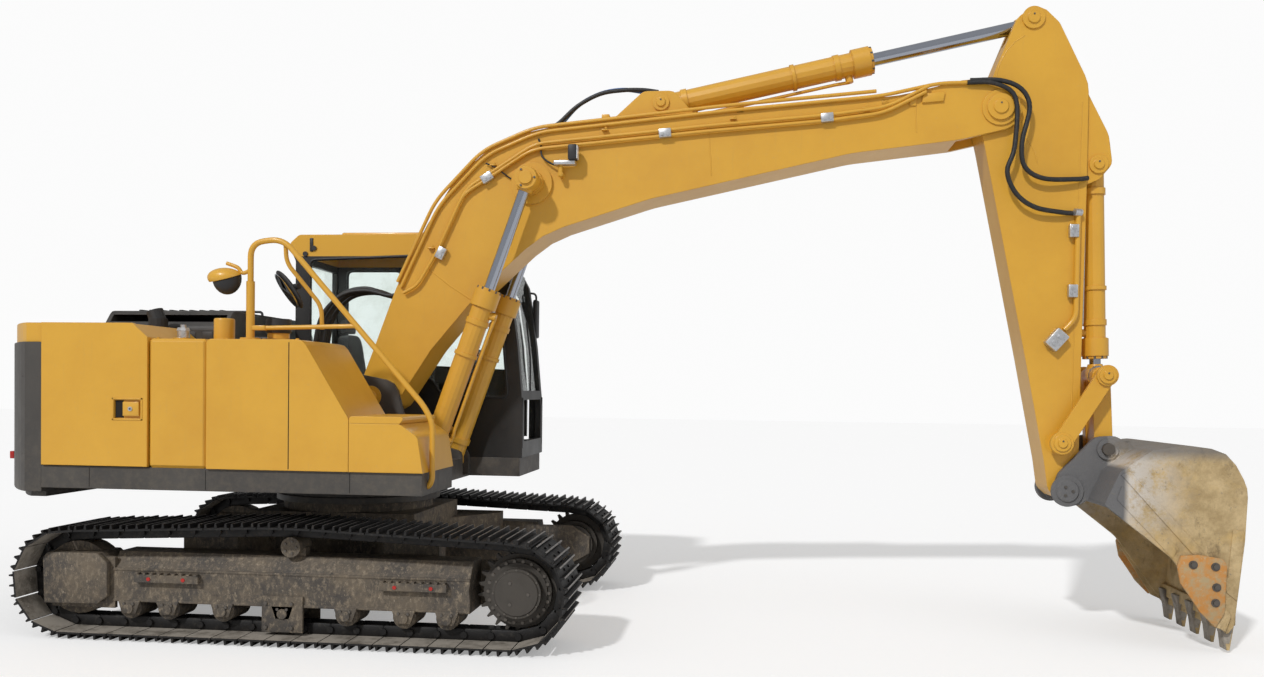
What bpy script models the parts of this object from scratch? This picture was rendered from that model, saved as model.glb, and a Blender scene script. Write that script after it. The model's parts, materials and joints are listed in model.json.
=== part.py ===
# Crawler excavator, 20 t class.  +X forward (bucket end), +Y left (cab side), +Z up, metres.
# Positions below are written from the swing axis; everything is moved by SWING_X at the end,
# which puts the origin under the middle of the machine's overall length.
import bpy
import bmesh
import math
from mathutils import Matrix, Vector

for ob in list(bpy.data.objects):
    bpy.data.objects.remove(ob, do_unlink=True)

# ---------------------------------------------------------------- driving dimensions
SWING_X = -1.965            # swing axis in the part's frame
GAP = 0.0003

TRACK_Y = 1.19              # centre of each track
SHOE_W = 0.60               # shoe width
WHEEL_X = 1.6325            # idler and sprocket axles, each side of the swing axis
WHEEL_Z = 0.405             # axle height, and outer radius of the wrapped track
SHOES = 45                  # shoes in one track
TRACK_RISE = 0.065          # how far the carrier roller lifts the top run

DECK_Z0, DECK_Z1 = 1.06, 1.22
HALF_W = 1.375              # half width of the upper structure
BODY_X0, BODY_X1 = -1.87, 0.97
TAIL_R = 2.75               # tail swing radius
HOOD_Z, TANK_Z, BOX_Z = 2.25, 2.14, 1.61
SIDE_Y = HALF_W - 0.02       # side of the deck and the counterweight
CAB_Y0, CAB_Y1 = 0.49, HALF_W

BOOM_HALF, STICK_HALF = 0.21, 0.165
BUCKET_W = 1.19
RUN = 0.008                 # side clearance of a pinned arm
NOSE_GAP = 0.006            # side clearance of the stick in the boom's nose
TOWER_IN = BOOM_HALF + RUN  # inner and outer faces of a boom tower
TOWER_Y = TOWER_IN + 0.044
CYL_Y = TOWER_Y + 0.098     # boom cylinders, each side of the boom
EAR_Y = CYL_Y + 0.090       # inner face of a cylinder ear
EAR_T = 0.030
EYE_HALF = 0.055            # half the width of a boom cylinder's eye
FORK_Y = 0.068              # half the fork at the stick's top, for the stick cylinder's rod
CHEEK_Y = 0.070             # inner face of the power link's cheeks
BUCKET_EAR = STICK_HALF + RUN   # inner face of the bucket's hinge plates
EAR_PLATE = 0.045           # thickness of a hinge plate
LINK_IN = BUCKET_EAR + 0.065    # inner face of the rocker links
LINK_T = 0.034

# pins, as (x, z)
BOOM_FOOT = (0.19, 1.74)
BOOM_TIP = (5.05, 3.98)
BOOM_CYL_BASE = (0.68, 1.20)
BOOM_CYL_ROD = (1.47, 3.44)
STICK_CYL_BASE = (2.48, 4.08)
STICK_CYL_ROD = (5.29, 4.66)
BUCKET_CYL_BASE = (5.79, 3.56)
BUCKET_PIN = (5.585, 1.10)
ROCKER_PIN = (5.53, 1.46)
LINK_TOP = (5.84, 1.97)
LINK_LOW = (5.87, 1.42)

YELLOW = (0.75, 0.40, 0.045)
CHARCOAL = (0.075, 0.066, 0.058)
BLACK = (0.02, 0.02, 0.022)
FRAME_BROWN = (0.16, 0.13, 0.10)
WORN_STEEL = (0.30, 0.26, 0.21)

# ---------------------------------------------------------------- helpers
parts = bpy.data.collections.new("crawler_excavator")
cutters = bpy.data.collections.new("cutters")
bpy.context.scene.collection.children.link(parts)
bpy.context.scene.collection.children.link(cutters)


def material(name, colour, roughness, metallic=0.0, alpha=1.0):
    m = bpy.data.materials.new(name)
    m.use_nodes = True
    b = m.node_tree.nodes["Principled BSDF"]
    b.inputs["Base Color"].default_value = (*colour, 1.0)
    b.inputs["Roughness"].default_value = roughness
    b.inputs["Metallic"].default_value = metallic
    b.inputs["Alpha"].default_value = alpha
    return m


M = {
    "yellow": material("yellow_paint", YELLOW, 0.42),
    "charcoal": material("charcoal_paint", CHARCOAL, 0.55),
    "black": material("black_plastic", BLACK, 0.6),
    "frame": material("frame_paint", FRAME_BROWN, 0.75),
    "shoe": material("shoe_steel", (0.05, 0.045, 0.04), 0.6, 0.6),
    "worn": material("worn_steel", WORN_STEEL, 0.6, 0.5),
    "chrome": material("chrome_rod", (0.8, 0.8, 0.82), 0.12, 1.0),
    "glass": material("cab_glass", (0.3, 0.36, 0.34), 0.05, 0.0, 0.35),
    "fabric": material("seat_fabric", (0.04, 0.04, 0.045), 0.9),
    "iron": material("engine_iron", (0.12, 0.12, 0.12), 0.6, 0.4),
}


def mesh_object(name, mesh):
    ob = bpy.data.objects.new(name, mesh)
    cutters.objects.link(ob)
    return ob


def tidy(ob, turn_out, merge=1e-5):
    bm = bmesh.new()
    bm.from_mesh(ob.data)
    bmesh.ops.remove_doubles(bm, verts=bm.verts, dist=merge)
    if turn_out:
        bmesh.ops.recalc_face_normals(bm, faces=bm.faces)
    bm.to_mesh(ob.data)
    bm.free()
    return ob


def bake(ob):
    """Turn an object and its modifiers into a plain mesh in world coordinates."""
    bpy.context.view_layer.update()
    deps = bpy.context.evaluated_depsgraph_get()
    mesh = bpy.data.meshes.new_from_object(ob.evaluated_get(deps))
    mesh.transform(ob.matrix_world)
    new = mesh_object(ob.name + "_mesh", mesh)
    was_curve = ob.type == "CURVE"
    bpy.data.objects.remove(ob, do_unlink=True)
    return tidy(new, was_curve)


FACING = {   # columns: where the outline's own x, y and thickness go
    "Y": Matrix(((1, 0, 0), (0, 0, -1), (0, 1, 0))),
    "Z": Matrix(((1, 0, 0), (0, 1, 0), (0, 0, 1))),
    "X": Matrix(((0, 0, 1), (1, 0, 0), (0, 1, 0))),
}


def outline(pts, facing, a0, a1, hole=None):
    """A flat closed outline given as (x, z), (x, y) or (y, z), extruded from a0 to a1."""
    cu = bpy.data.curves.new("outline", "CURVE")
    cu.dimensions = "2D"
    cu.fill_mode = "BOTH"
    cu.extrude = abs(a1 - a0) / 2
    for edge in (pts, hole) if hole else (pts,):
        sp = cu.splines.new("POLY")
        sp.points.add(len(edge) - 1)
        for p, (u, v) in zip(sp.points, edge):
            p.co = (u, v, 0, 1)
        sp.use_cyclic_u = True
    ob = bpy.data.objects.new("outline", cu)
    cutters.objects.link(ob)
    mid = (a0 + a1) / 2
    ob.matrix_world = Matrix.Translation(
        {"Y": (0, mid, 0), "Z": (0, 0, mid), "X": (mid, 0, 0)}[facing]) @ FACING[facing].to_4x4()
    return bake(ob)


def soften(pts, steps=2):
    """Round the corners of an outline given as (u, v, radius)."""
    out = []
    n = len(pts)
    for i, (u, v, r) in enumerate(pts):
        if r <= 0:
            out.append((u, v))
            continue
        p = Vector((u, v))
        a = Vector(pts[i - 1][:2]) - p
        b = Vector(pts[(i + 1) % n][:2]) - p
        la, lb = a.length, b.length
        a.normalize()
        b.normalize()
        half = a.angle(b) / 2
        t = min(r / math.tan(half), la * 0.49, lb * 0.49)
        r = t * math.tan(half)
        centre = p + (a + b).normalized() * (r / math.sin(half))
        s, e = p + a * t - centre, p + b * t - centre
        sweep = s.angle_signed(e)
        for k in range(steps + 1):
            w = s.copy()
            w.rotate(Matrix.Rotation(-sweep * k / steps, 2))
            out.append(tuple(centre + w))
    return out


def inset(pts, d):
    """An outline moved inwards by d all round."""
    n = len(pts)
    turn = sum(pts[i - 1][0] * pts[i][1] - pts[i][0] * pts[i - 1][1] for i in range(n))
    s = 1 if turn > 0 else -1
    out = []
    for i in range(n):
        p = Vector(pts[i])
        a = (p - Vector(pts[i - 1])).normalized()
        b = (Vector(pts[(i + 1) % n]) - p).normalized()
        na, nb = Vector((-a.y, a.x)) * s, Vector((-b.y, b.x)) * s
        out.append(tuple(p + (na + nb) * (d / (1 + na.dot(nb)))))
    return out


def box(x0, x1, y0, y1, z0, z1, bevel=0.0):
    bm = bmesh.new()
    bmesh.ops.create_cube(bm, size=1.0)
    bmesh.ops.scale(bm, vec=(x1 - x0, y1 - y0, z1 - z0), verts=bm.verts)
    bmesh.ops.translate(bm, vec=((x0 + x1) / 2, (y0 + y1) / 2, (z0 + z1) / 2), verts=bm.verts)
    if bevel:
        bmesh.ops.bevel(bm, geom=bm.edges[:], offset=bevel, segments=1, affect="EDGES")
    mesh = bpy.data.meshes.new("box")
    bm.to_mesh(mesh)
    bm.free()
    return mesh_object("box", mesh)


def rod(p0, p1, r0, r1=None, sides=16):
    """A round bar or cone from p0 to p1."""
    p0, p1 = Vector(p0), Vector(p1)
    d = p1 - p0
    bm = bmesh.new()
    bmesh.ops.create_cone(bm, cap_ends=True, segments=sides, radius1=r0,
                          radius2=r0 if r1 is None else r1, depth=d.length)
    turn = Vector((0, 0, 1)).rotation_difference(d).to_matrix().to_4x4()
    bmesh.ops.transform(bm, matrix=Matrix.Translation((p0 + p1) / 2) @ turn, verts=bm.verts)
    mesh = bpy.data.meshes.new("rod")
    bm.to_mesh(mesh)
    bm.free()
    return mesh_object("rod", mesh)


def disc(pin, y0, y1, r, sides=14):
    """A round bar along Y through the pin (x, z)."""
    return rod((pin[0], y0, pin[1]), (pin[0], y1, pin[1]), r, sides=sides)


def tube(pts, r, res=1):
    cu = bpy.data.curves.new("tube", "CURVE")
    cu.dimensions = "3D"
    cu.bevel_depth = r
    cu.bevel_resolution = res
    cu.use_fill_caps = True
    sp = cu.splines.new("POLY")
    sp.points.add(len(pts) - 1)
    for p, co in zip(sp.points, pts):
        p.co = (*co, 1)
    ob = bpy.data.objects.new("tube", cu)
    cutters.objects.link(ob)
    return bake(ob)


def bend(pts, r, steps=3):
    """Round the inner corners of a 3-D path."""
    out = [Vector(pts[0])]
    for a, p, b in zip(pts, pts[1:], pts[2:]):
        a, p, b = Vector(a), Vector(p), Vector(b)
        t = min(r, (a - p).length * 0.45, (b - p).length * 0.45)
        s, e = p + (a - p).normalized() * t, p + (b - p).normalized() * t
        for k in range(steps + 1):
            w = k / steps
            out.append(s * (1 - w) ** 2 + p * 2 * w * (1 - w) + e * w * w)
    out.append(Vector(pts[-1]))
    return [tuple(v) for v in out]


def boolean(base, others, operation, solver="EXACT"):
    for o in others:
        m = base.modifiers.new("bool", "BOOLEAN")
        m.operation = operation
        m.solver = solver
        m.object = o
        base = bake(base)
        bpy.data.objects.remove(o, do_unlink=True)
    return base


def join(base, *others):
    return boolean(base, others, "UNION")


def cut(base, *others):
    return boolean(base, others, "DIFFERENCE")


def node(name, ob, mat, origin=(0, 0, 0)):
    """Name a finished solid, shift it to the part's frame and put its origin on its axis."""
    at = Vector(origin)
    ob.data.transform(Matrix.Translation(-at))
    ob.location = at + Vector((SWING_X, 0, 0))
    ob.name = name
    ob.data.name = name
    ob.data.materials.clear()
    ob.data.materials.append(M[mat])
    for p in ob.data.polygons:
        p.use_smooth = True
    ob.data.set_sharp_from_angle(angle=math.radians(35))
    cutters.objects.unlink(ob)
    parts.objects.link(ob)
    return ob


def at_pin(pin):
    return (pin[0], 0, pin[1])


# ---------------------------------------------------------------- undercarriage
def loop(radius):
    """The track's closed path at one distance from the axles, as (x, z)."""
    top = WHEEL_Z + radius + TRACK_RISE
    lean = math.atan2(TRACK_RISE, WHEEL_X)
    pts = []
    steps = 12
    for k in range(steps + 1):              # round the front wheel, upwards
        a = -math.pi / 2 + (math.pi - lean) * k / steps
        pts.append((WHEEL_X + radius * math.cos(a), WHEEL_Z + radius * math.sin(a)))
    pts += [(0.12, top - 0.004), (-0.12, top - 0.004)]
    for k in range(steps + 1):              # round the rear wheel, downwards
        a = math.pi / 2 + lean + (math.pi - lean) * k / steps
        pts.append((-WHEEL_X + radius * math.cos(a), WHEEL_Z + radius * math.sin(a)))
    return pts


def along(path, s):
    """The point and outward normal at distance s on a closed path."""
    n = len(path)
    for i in range(n):
        a, b = Vector(path[i]), Vector(path[(i + 1) % n])
        d = (b - a).length
        if s <= d or i == n - 1:
            t = (b - a) / d
            return a + t * s, Vector((t.y, -t.x))
        s -= d


def shoe_outline():
    path = loop(0.350)
    total = sum((Vector(path[i]) - Vector(path[i - 1])).length for i in range(len(path)))
    pitch = total / SHOES
    pts = []
    for i in range(SHOES):
        # (share of the pitch, height); the links flex, so the gaps between shoes differ a little
        low, high = (0.027 + 0.0015 * math.sin(2.4 * (k % SHOES)) for k in (i, i + 1))
        for where, height in ((0.04, low), (0.14, 0.055), (0.86, 0.055), (0.96, high)):
            p, nrm = along(path, (i + where) * pitch)
            pts.append(tuple(p + nrm * height))
    return pts


for side, s in (("right", -1), ("left", 1)):
    y = s * TRACK_Y

    shoes = outline(shoe_outline(), "Y", y - SHOE_W / 2, y + SHOE_W / 2, hole=loop(0.352))
    chain = outline(loop(0.362), "Y", y - 0.10, y + 0.10, hole=loop(0.270))
    node("track_" + side, join(shoes, chain), "shoe", (0, y, WHEEL_Z))

    # sprocket ring, with the final drive on its axle
    wheel = disc((WHEEL_X, WHEEL_Z), y - 0.032, y + 0.032, 0.262, 28)
    wheel = join(wheel, disc((WHEEL_X, WHEEL_Z), y - 0.165, y + 0.165 - GAP, 0.172, 28),
                 disc((WHEEL_X, WHEEL_Z), y - 0.10, y + 0.10, 0.205, 28))
    if s > 0:
        wheel.data.transform(Matrix.Translation((0, 2 * y, 0)) @ Matrix.Scale(-1, 4, (0, 1, 0)))
        wheel.data.flip_normals()
    node("sprocket_" + side, wheel, "frame", (WHEEL_X, y, WHEEL_Z))

    wheel = disc((-WHEEL_X, WHEEL_Z), y - 0.08, y + 0.08, 0.266, 28)
    wheel = join(wheel, disc((-WHEEL_X, WHEEL_Z), y - 0.109 + GAP, y + 0.109 - GAP, 0.09, 14))
    node("idler_" + side, wheel, "frame", (-WHEEL_X, y, WHEEL_Z))

    # track frame: box with a sloping top, guards, rollers on its underside, carrier roller on top
    yo, yi = y + s * 0.14, y - s * 0.19
    frame = outline([(yo, 0.25), (yo, 0.48), (y + s * 0.05, 0.60), (yi + s * 0.03, 0.60), (yi, 0.56),
                     (yi, 0.25)], "X", -1.335, 1.30)
    for q in (y + s * 0.1245, y - s * 0.1245):                            # yoke plates beside the idler
        frame = join(frame, box(-1.80, -1.315, q - 0.0155, q + 0.0155, 0.20, 0.57))
    frame = cut(frame, disc((WHEEL_X, WHEEL_Z), y - 0.4, y + 0.4, 0.34, 24))
    inner = sorted((y - s * 0.165, y - s * 0.19))
    frame = join(frame, outline([(1.2, 0.26), (1.2, 0.58), (1.62, 0.58), (1.78, 0.48), (1.78, 0.33),
                                 (1.62, 0.24)], "Y", *inner))
    for rx in (-1.20, -0.91, -0.50, -0.05, 0.41, 0.83, 1.14):             # track rollers
        frame = join(frame, disc((rx, 0.2105), y - 0.135, y + 0.135, 0.074, 14))
    frame = join(frame, box(-0.09, 0.07, y - 0.04, y + 0.04, 0.56, 0.66),  # carrier roller
                 disc((-0.01, 0.6715), y - 0.10, y + 0.10, 0.064, 14))
    for q in (y + s * 0.148, y - s * 0.148):                              # chain guide guard
        frame = join(frame, box(-0.20, 0.10, q - 0.010, q + 0.010, 0.075, 0.33))
    step = sorted((yo - s * 0.01, yo + s * 0.045))
    for sx in (-0.905, 0.905):                                            # steps on the outer face
        frame = join(frame, box(sx - 0.24, sx + 0.24, *step, 0.40, 0.455))
    node("track_frame_" + side, frame, "frame", (0, y, 0.4))

# centre section: a table with a leg to each end of each track frame
LEG = TRACK_Y - 0.19 - GAP
quarter = [(0.62, 0.34), (0.98, 0.84), (0.98, LEG), (0.56, LEG), (0.40, 0.74), (0.0, 0.62)]
plan = (quarter + [(-x, y) for x, y in reversed(quarter[:-1])] + [(-x, -y) for x, y in quarter]
        + [(x, -y) for x, y in reversed(quarter[:-1])])
carbody = outline(plan, "Z", 0.47, 0.70)
carbody = join(carbody, box(-0.66, 0.66, -0.60, 0.60, 0.52, 0.84),
               rod((0, 0, 0.80), (0, 0, 0.92), 0.60, sides=32))
node("carbody", carbody, "frame", (0, 0, 0.6))

bearing = rod((0, 0, 0.92 + GAP), (0, 0, DECK_Z0 - GAP), 0.56, sides=32)
node("swing_bearing", bearing, "black", (0, 0, 1.0))

# ---------------------------------------------------------------- upper structure
# deck: right wing under the tanks, left wing under the cab, and the centre section
deck_plan = [(BODY_X0, -SIDE_Y), (0.96, -SIDE_Y), (0.96, -0.62), (0.80, -0.55), (0.80, 0.485), (1.24, 0.485),
             (1.24, SIDE_Y), (BODY_X0, SIDE_Y)]
deck = outline(deck_plan, "Z", DECK_Z0, DECK_Z1)
TOWER = [(-0.80, 1.20, 0), (-0.55, 1.56, 0.1), (0.02, 1.93, 0.15), (0.38, 1.86, 0.12), (0.47, 1.55, 0.1),
         (0.62, 1.33, 0.1), (0.80, 1.28, 0.05), (0.80, 1.14, 0)]
for s in (-1, 1):
    tower = outline(soften(TOWER), "Y", *sorted((s * TOWER_IN, s * TOWER_Y)))
    deck = join(deck, cut(tower, disc(BOOM_FOOT, -0.5, 0.5, 0.057, 14)))
CYL_EAR = [(0.48, 1.10, 0), (0.52, 1.30, 0.06), (0.80, 1.30, 0.06), (0.80, 1.10, 0)]
for s in (-1, 1):                                    # outer ears of the boom cylinders
    deck = join(deck, outline(soften(CYL_EAR), "Y", *sorted((s * EAR_Y, s * (EAR_Y + EAR_T)))))
deck = cut(deck, box(0.50, 0.95, -EAR_Y, -TOWER_Y, 1.08, 1.5), box(0.50, 0.95, TOWER_Y, EAR_Y, 1.08, 1.5))
for s in (-1, 1):
    deck = cut(deck, disc(BOOM_CYL_BASE, *sorted((s * TOWER_Y, s * (EAR_Y + 0.05))), 0.047, 12))
node("main_frame", deck, "charcoal", (0, 0, DECK_Z1))

# counterweight: an arc behind, well rounded into the sides, with a cap on top
CORNER_X, CORNER_CTRL, ARC_HALF = -2.00, (-2.21, -0.125), 0.50
ARC = math.asin(ARC_HALF / TAIL_R)
start, end = Vector((CORNER_X, SIDE_Y)), Vector((-TAIL_R * math.cos(ARC), ARC_HALF))
ctrl = Vector((CORNER_CTRL[0], SIDE_Y + CORNER_CTRL[1]))
tail_plan = [(BODY_X0 - GAP, SIDE_Y)]
for k in range(8):
    w = k / 8
    tail_plan.append(tuple(start * (1 - w) ** 2 + ctrl * 2 * w * (1 - w) + end * w * w))
for k in range(7):
    t = ARC * (1 - k / 6)
    tail_plan.append((-TAIL_R * math.cos(t), TAIL_R * math.sin(t)))
tail_plan += [(x, -y) for x, y in reversed(tail_plan[:-1])]


def shrunk_tail(along_x, across):
    """The tail's plan with its rear and its sides drawn in."""
    return [(x if x > -1.9 else -1.9 + (x + 1.9) * along_x, y * across) for x, y in tail_plan]


cw = outline(tail_plan, "Z", 1.03, 2.11)
cw = join(cw, outline(shrunk_tail(0.86, 0.96), "Z", 0.99, 1.031))
node("counterweight", cw, "charcoal", (-2.2, 0, 1.5))
cap = outline(shrunk_tail(0.97, 0.99), "Z", 2.11 + GAP, HOOD_Z)
node("counterweight_cap", cap, "yellow", (-2.2, 0, 2.2))

# engine and radiator block on the deck, inside the bay
node("engine", box(-1.75, -1.15, -0.55, 0.35, DECK_Z1 + GAP, 2.0, 0.04), "iron", (-1.4, 0, 1.6))
node("radiator", box(-1.72, -1.05, 0.45, 0.68, DECK_Z1 + GAP, 2.05), "black", (-1.4, 0.56, 1.6))

# right side: pump bay door, hydraulic tank, fuel tank with a stepped front
T = 0.035                                             # panel thickness
cover = outline([(BODY_X0 + 0.002, 2.13), (BODY_X0 + 0.002, HOOD_Z - 0.005), (-1.17, HOOD_Z - 0.005),
                 (-1.055, 2.148), (-1.055, 2.13)], "Y", -HALF_W + T + GAP, -0.655)
cover = join(cover, box(BODY_X0 + 0.002, -1.83, -HALF_W + T + GAP, -0.66, DECK_Z1 + GAP, 2.14),
             box(-1.10, -1.055, -HALF_W + T + GAP, -0.66, DECK_Z1 + GAP, 2.14))
node("pump_bay_frame", cover, "yellow", (-1.45, -1.0, 1.8))
node("hydraulic_tank", box(-1.04, -0.612, -HALF_W, -0.66, DECK_Z1 + GAP, TANK_Z, 0.02), "yellow",
     (-0.8, -1.0, 1.7))
fuel = outline(soften([(-0.608, DECK_Z1 + GAP, 0), (-0.608, TANK_Z, 0.03), (0.10, TANK_Z, 0.08),
                       (0.435, BOX_Z - 0.02, 0.05), (0.435, DECK_Z1 + GAP, 0)]), "Y", -HALF_W, -0.60)
node("fuel_tank", fuel, "yellow", (-0.1, -1.0, 1.7))

bay = outline(soften([(0.4385, DECK_Z1 + GAP, 0), (0.4385, 1.56, 0), (0.80, 1.56, 0.04), (0.93, 1.47, 0.05),
                      (BODY_X1, DECK_Z1 + GAP, 0)]), "Y", -HALF_W, -0.62)
bay = cut(bay, box(0.475, 0.78, -HALF_W + 0.035, -0.655, 1.26, 1.7))
node("toolbox", bay, "yellow", (0.7, -1.0, 1.4))
LID = [(0.4385, 1.5605, 0), (0.4385, BOX_Z, 0.02), (0.845, BOX_Z, 0.03), (0.80, 1.5605, 0)]
lid = outline(soften(LID), "Y", -HALF_W, -0.62)
node("toolbox_lid", lid, "yellow", (0.4385, -1.0, BOX_Z))

HOOD_HINGE = (-1.862, 0, 2.262)
# engine bay: bulkheads and the rim that the hood closes on
rim = box(BODY_X0 + 0.002, -0.815, -0.654, HALF_W - T - GAP, 2.09, 2.13)
rim = cut(rim, box(-1.80, -0.90, -0.60, 0.95, 2.0, 2.3))
rim = join(rim, box(-0.86, -0.815, -0.654, HALF_W - T - GAP, DECK_Z1 + GAP, 2.10),          # firewall
           box(BODY_X0 + 0.002, -1.83, -0.654, HALF_W - T - GAP, DECK_Z1 + GAP, 2.10),      # rear bulkhead
           box(-1.345, -1.305, 0.95, HALF_W - T - GAP, DECK_Z1 + GAP, 2.10))      # post between the doors
node("engine_bay_frame", rim, "charcoal", (-1.3, 0, 1.9))

hood = outline(soften([(-0.645, 2.13 + GAP, 0), (-0.645, 2.26, 0.05), (-0.53, 2.40, 0.08), (0.86, 2.40, 0.08),
                       (0.98, 2.26, 0.05), (0.98, 2.13 + GAP, 0)]), "X", BODY_X0 + 0.01, -0.84)
hood = cut(hood, box(BODY_X0 + 0.045, -0.875, -0.605, 0.94, 2.0, 2.365))
node("engine_hood", hood, "yellow", HOOD_HINGE)
stack = join(rod((-1.32, -0.78, HOOD_Z - 0.005 + GAP), (-1.32, -0.78, HOOD_Z + 0.07), 0.07),
             rod((-1.32, -0.78, HOOD_Z + 0.05), (-1.35, -0.78, HOOD_Z + 0.13), 0.062))
node("exhaust_stack", stack, "black", (-1.32, -0.78, HOOD_Z))

# doors
rd = outline([(BODY_X0 + 0.012, DECK_Z1 + 0.006), (BODY_X0 + 0.012, HOOD_Z), (-1.165, HOOD_Z), (-1.05, 2.15),
              (-1.05, DECK_Z1 + 0.006)], "Y", -HALF_W, -HALF_W + T)
rd = cut(rd, box(-1.30, -1.10, -HALF_W - 0.05, -HALF_W + 0.018, 1.57, 1.70))          # latch recess
node("pump_bay_door", rd, "yellow", (BODY_X0 + 0.012, -HALF_W, 1.7))
for nm, x0, x1 in (("radiator_door", BODY_X0 + 0.012, -1.335), ("filter_door", -1.325, -0.815)):
    d = box(x0, x1, HALF_W - T, HALF_W, DECK_Z1 + 0.006, 2.13, 0.008)
    node(nm, d, "yellow", (x0, HALF_W, 1.7))

# ---------------------------------------------------------------- cab
CAB = [(-0.79, DECK_Z1 + GAP, 0), (-0.79, 2.92, 0.05), (-0.86, 3.06, 0.05), (-0.76, 3.15, 0.05),
       (0.55, 3.15, 0.15), (0.98, 3.03, 0.12), (1.13, 2.76, 0.1), (1.21, 2.20, 0.3), (1.26, 1.66, 0.2),
       (1.26, DECK_Z1 + GAP, 0)]
INNER = [(-0.74, 1.30, 0), (-0.74, 3.04, 0.04), (0.55, 3.08, 0.12), (0.92, 2.97, 0.1), (1.07, 2.74, 0.1),
         (1.15, 2.20, 0.3), (1.20, 1.66, 0.2), (1.20, 1.30, 0)]
cab = outline(soften(CAB), "Y", CAB_Y0, CAB_Y1)
side_win = [(-0.66, 1.90, 0.06), (-0.66, 2.93, 0.06), (0.52, 2.97, 0.1), (0.88, 2.86, 0.08),
            (1.02, 2.66, 0.08),
            (1.09, 2.20, 0.2), (1.13, 1.74, 0.1), (0.55, 1.74, 0.05), (0.45, 1.90, 0.05)]
cab = cut(cab, outline(soften(side_win), "Y", CAB_Y0 - 0.05, CAB_Y0 + 0.10))
# left side: rear quarter window, then the doorway
quarter_win = [(-0.66, 1.95, 0.05), (-0.66, 2.93, 0.05), (-0.12, 2.93, 0.05), (-0.12, 1.95, 0.05)]
cab = cut(cab, outline(soften(quarter_win), "Y", CAB_Y1 - 0.1, CAB_Y1 + 0.05))
DOORWAY = [(-0.05, 1.34, 0), (-0.05, 2.98, 0.03), (0.52, 2.99, 0.12), (0.87, 2.88, 0.08), (1.03, 2.66, 0.08),
           (1.10, 2.20, 0.2), (1.14, 1.70, 0.2), (1.14, 1.34, 0)]
cab = cut(cab, outline(soften(DOORWAY), "Y", CAB_Y1 - 0.1, CAB_Y1 + 0.05))
y0, y1 = CAB_Y0 + 0.075, CAB_Y1 - 0.075
cab = cut(cab, box(0.95, 1.4, y0, y1, 1.80, 2.86), box(1.10, 1.4, y0, y1, 1.36, 1.72),      # front windows
          box(-0.9, -0.7, y0, y1, 2.10, 2.90),                                              # rear window
          box(-0.35, 0.40, y0 + 0.08, y1 - 0.08, 3.0, 3.3))                                 # roof hatch
cab = cut(cab, outline(soften(INNER), "Y", CAB_Y0 + 0.05, CAB_Y1 - 0.05))
node("cab_shell", cab, "yellow", (0.2, 0.9, 1.3))

DOOR_HINGE = (-0.065, CAB_Y1 + 0.0123)
door_win = [(0.06, 2.02, 0.04), (0.06, 2.88, 0.04), (0.51, 2.89, 0.1), (0.80, 2.80, 0.06),
            (0.93, 2.62, 0.06), (0.995, 2.20, 0.15), (1.02, 1.98, 0.05)]
slab = outline(soften([(-0.02, 1.37, 0), (-0.02, 2.955, 0.03), (0.52, 2.965, 0.12), (0.855, 2.86, 0.08),
                       (1.005, 2.65, 0.08), (1.075, 2.20, 0.2), (1.115, 1.70, 0.2), (1.115, 1.37, 0)]), "Y",
               CAB_Y1 - 0.042, CAB_Y1 + 0.004)
slab = cut(slab, outline(soften(door_win), "Y", CAB_Y1 - 0.1, CAB_Y1 + 0.05))
for hz in (1.45, 2.62):                              # hinge leaves and knuckles
    slab = join(slab, box(-0.065, 0.03, CAB_Y1 + 0.001, CAB_Y1 + 0.010, hz, hz + 0.14),
                rod((*DOOR_HINGE, hz - 0.01), (*DOOR_HINGE, hz + 0.15), 0.012, sides=12))
node("cab_door", slab, "yellow", (*DOOR_HINGE, 1.4))


def pane(window, face, where, thick=0.006):
    """Glass that fills a window's own outline, set 0.3 mm inside it."""
    return outline(inset(soften(window), GAP), face, where, where + thick)


node("door_glass", pane(door_win, "Y", CAB_Y1 - 0.025), "glass", (*DOOR_HINGE, 1.4))
node("cab_glass_right", pane(side_win, "Y", CAB_Y0 + 0.015), "glass", (0, CAB_Y0, 2.4))
node("cab_glass_left", pane(quarter_win, "Y", CAB_Y1 - 0.030), "glass", (-0.4, CAB_Y1, 2.4))
rear_pane = box(-0.772, -0.766, y0 + GAP, y1 - GAP, 2.10 + GAP, 2.90 - GAP)
node("cab_glass_rear", rear_pane, "glass", (-0.77, 0.9, 2.5))
fg = outline([(1.088, 2.8597), (1.094, 2.8597), (1.104, 2.76), (1.186, 2.20), (1.226, 1.8003),
              (1.220, 1.8003),
              (1.180, 2.20), (1.098, 2.76)], "Y", y0 + GAP, y1 - GAP)
node("cab_glass_front", fg, "glass", (1.15, 0.9, 2.3))

# driver's seat on its pedestal, with a console each side
node("seat_base", join(box(-0.32, 0.18, 0.75, 1.09, 1.3003, 1.56), box(-0.20, 0.30, 0.60, 0.68, 1.3003, 1.86),
                       box(-0.20, 0.30, 1.14, 1.22, 1.3003, 1.86), box(-0.10, 0.10, 0.66, 1.16, 1.34, 1.42)),
     "black", (0, 0.92, 1.3))
seat = box(-0.34, 0.20, 0.70, 1.12, 1.5603, 1.72, 0.03)
BACKREST = [(-0.40, 1.62, 0.02), (-0.56, 2.42, 0.05), (-0.44, 2.44, 0.05), (-0.26, 1.66, 0.02)]
back = outline(soften(BACKREST), "Y", 0.71, 1.11)
node("driver_seat", join(seat, back), "fabric", (-0.1, 0.92, 1.6))

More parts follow.
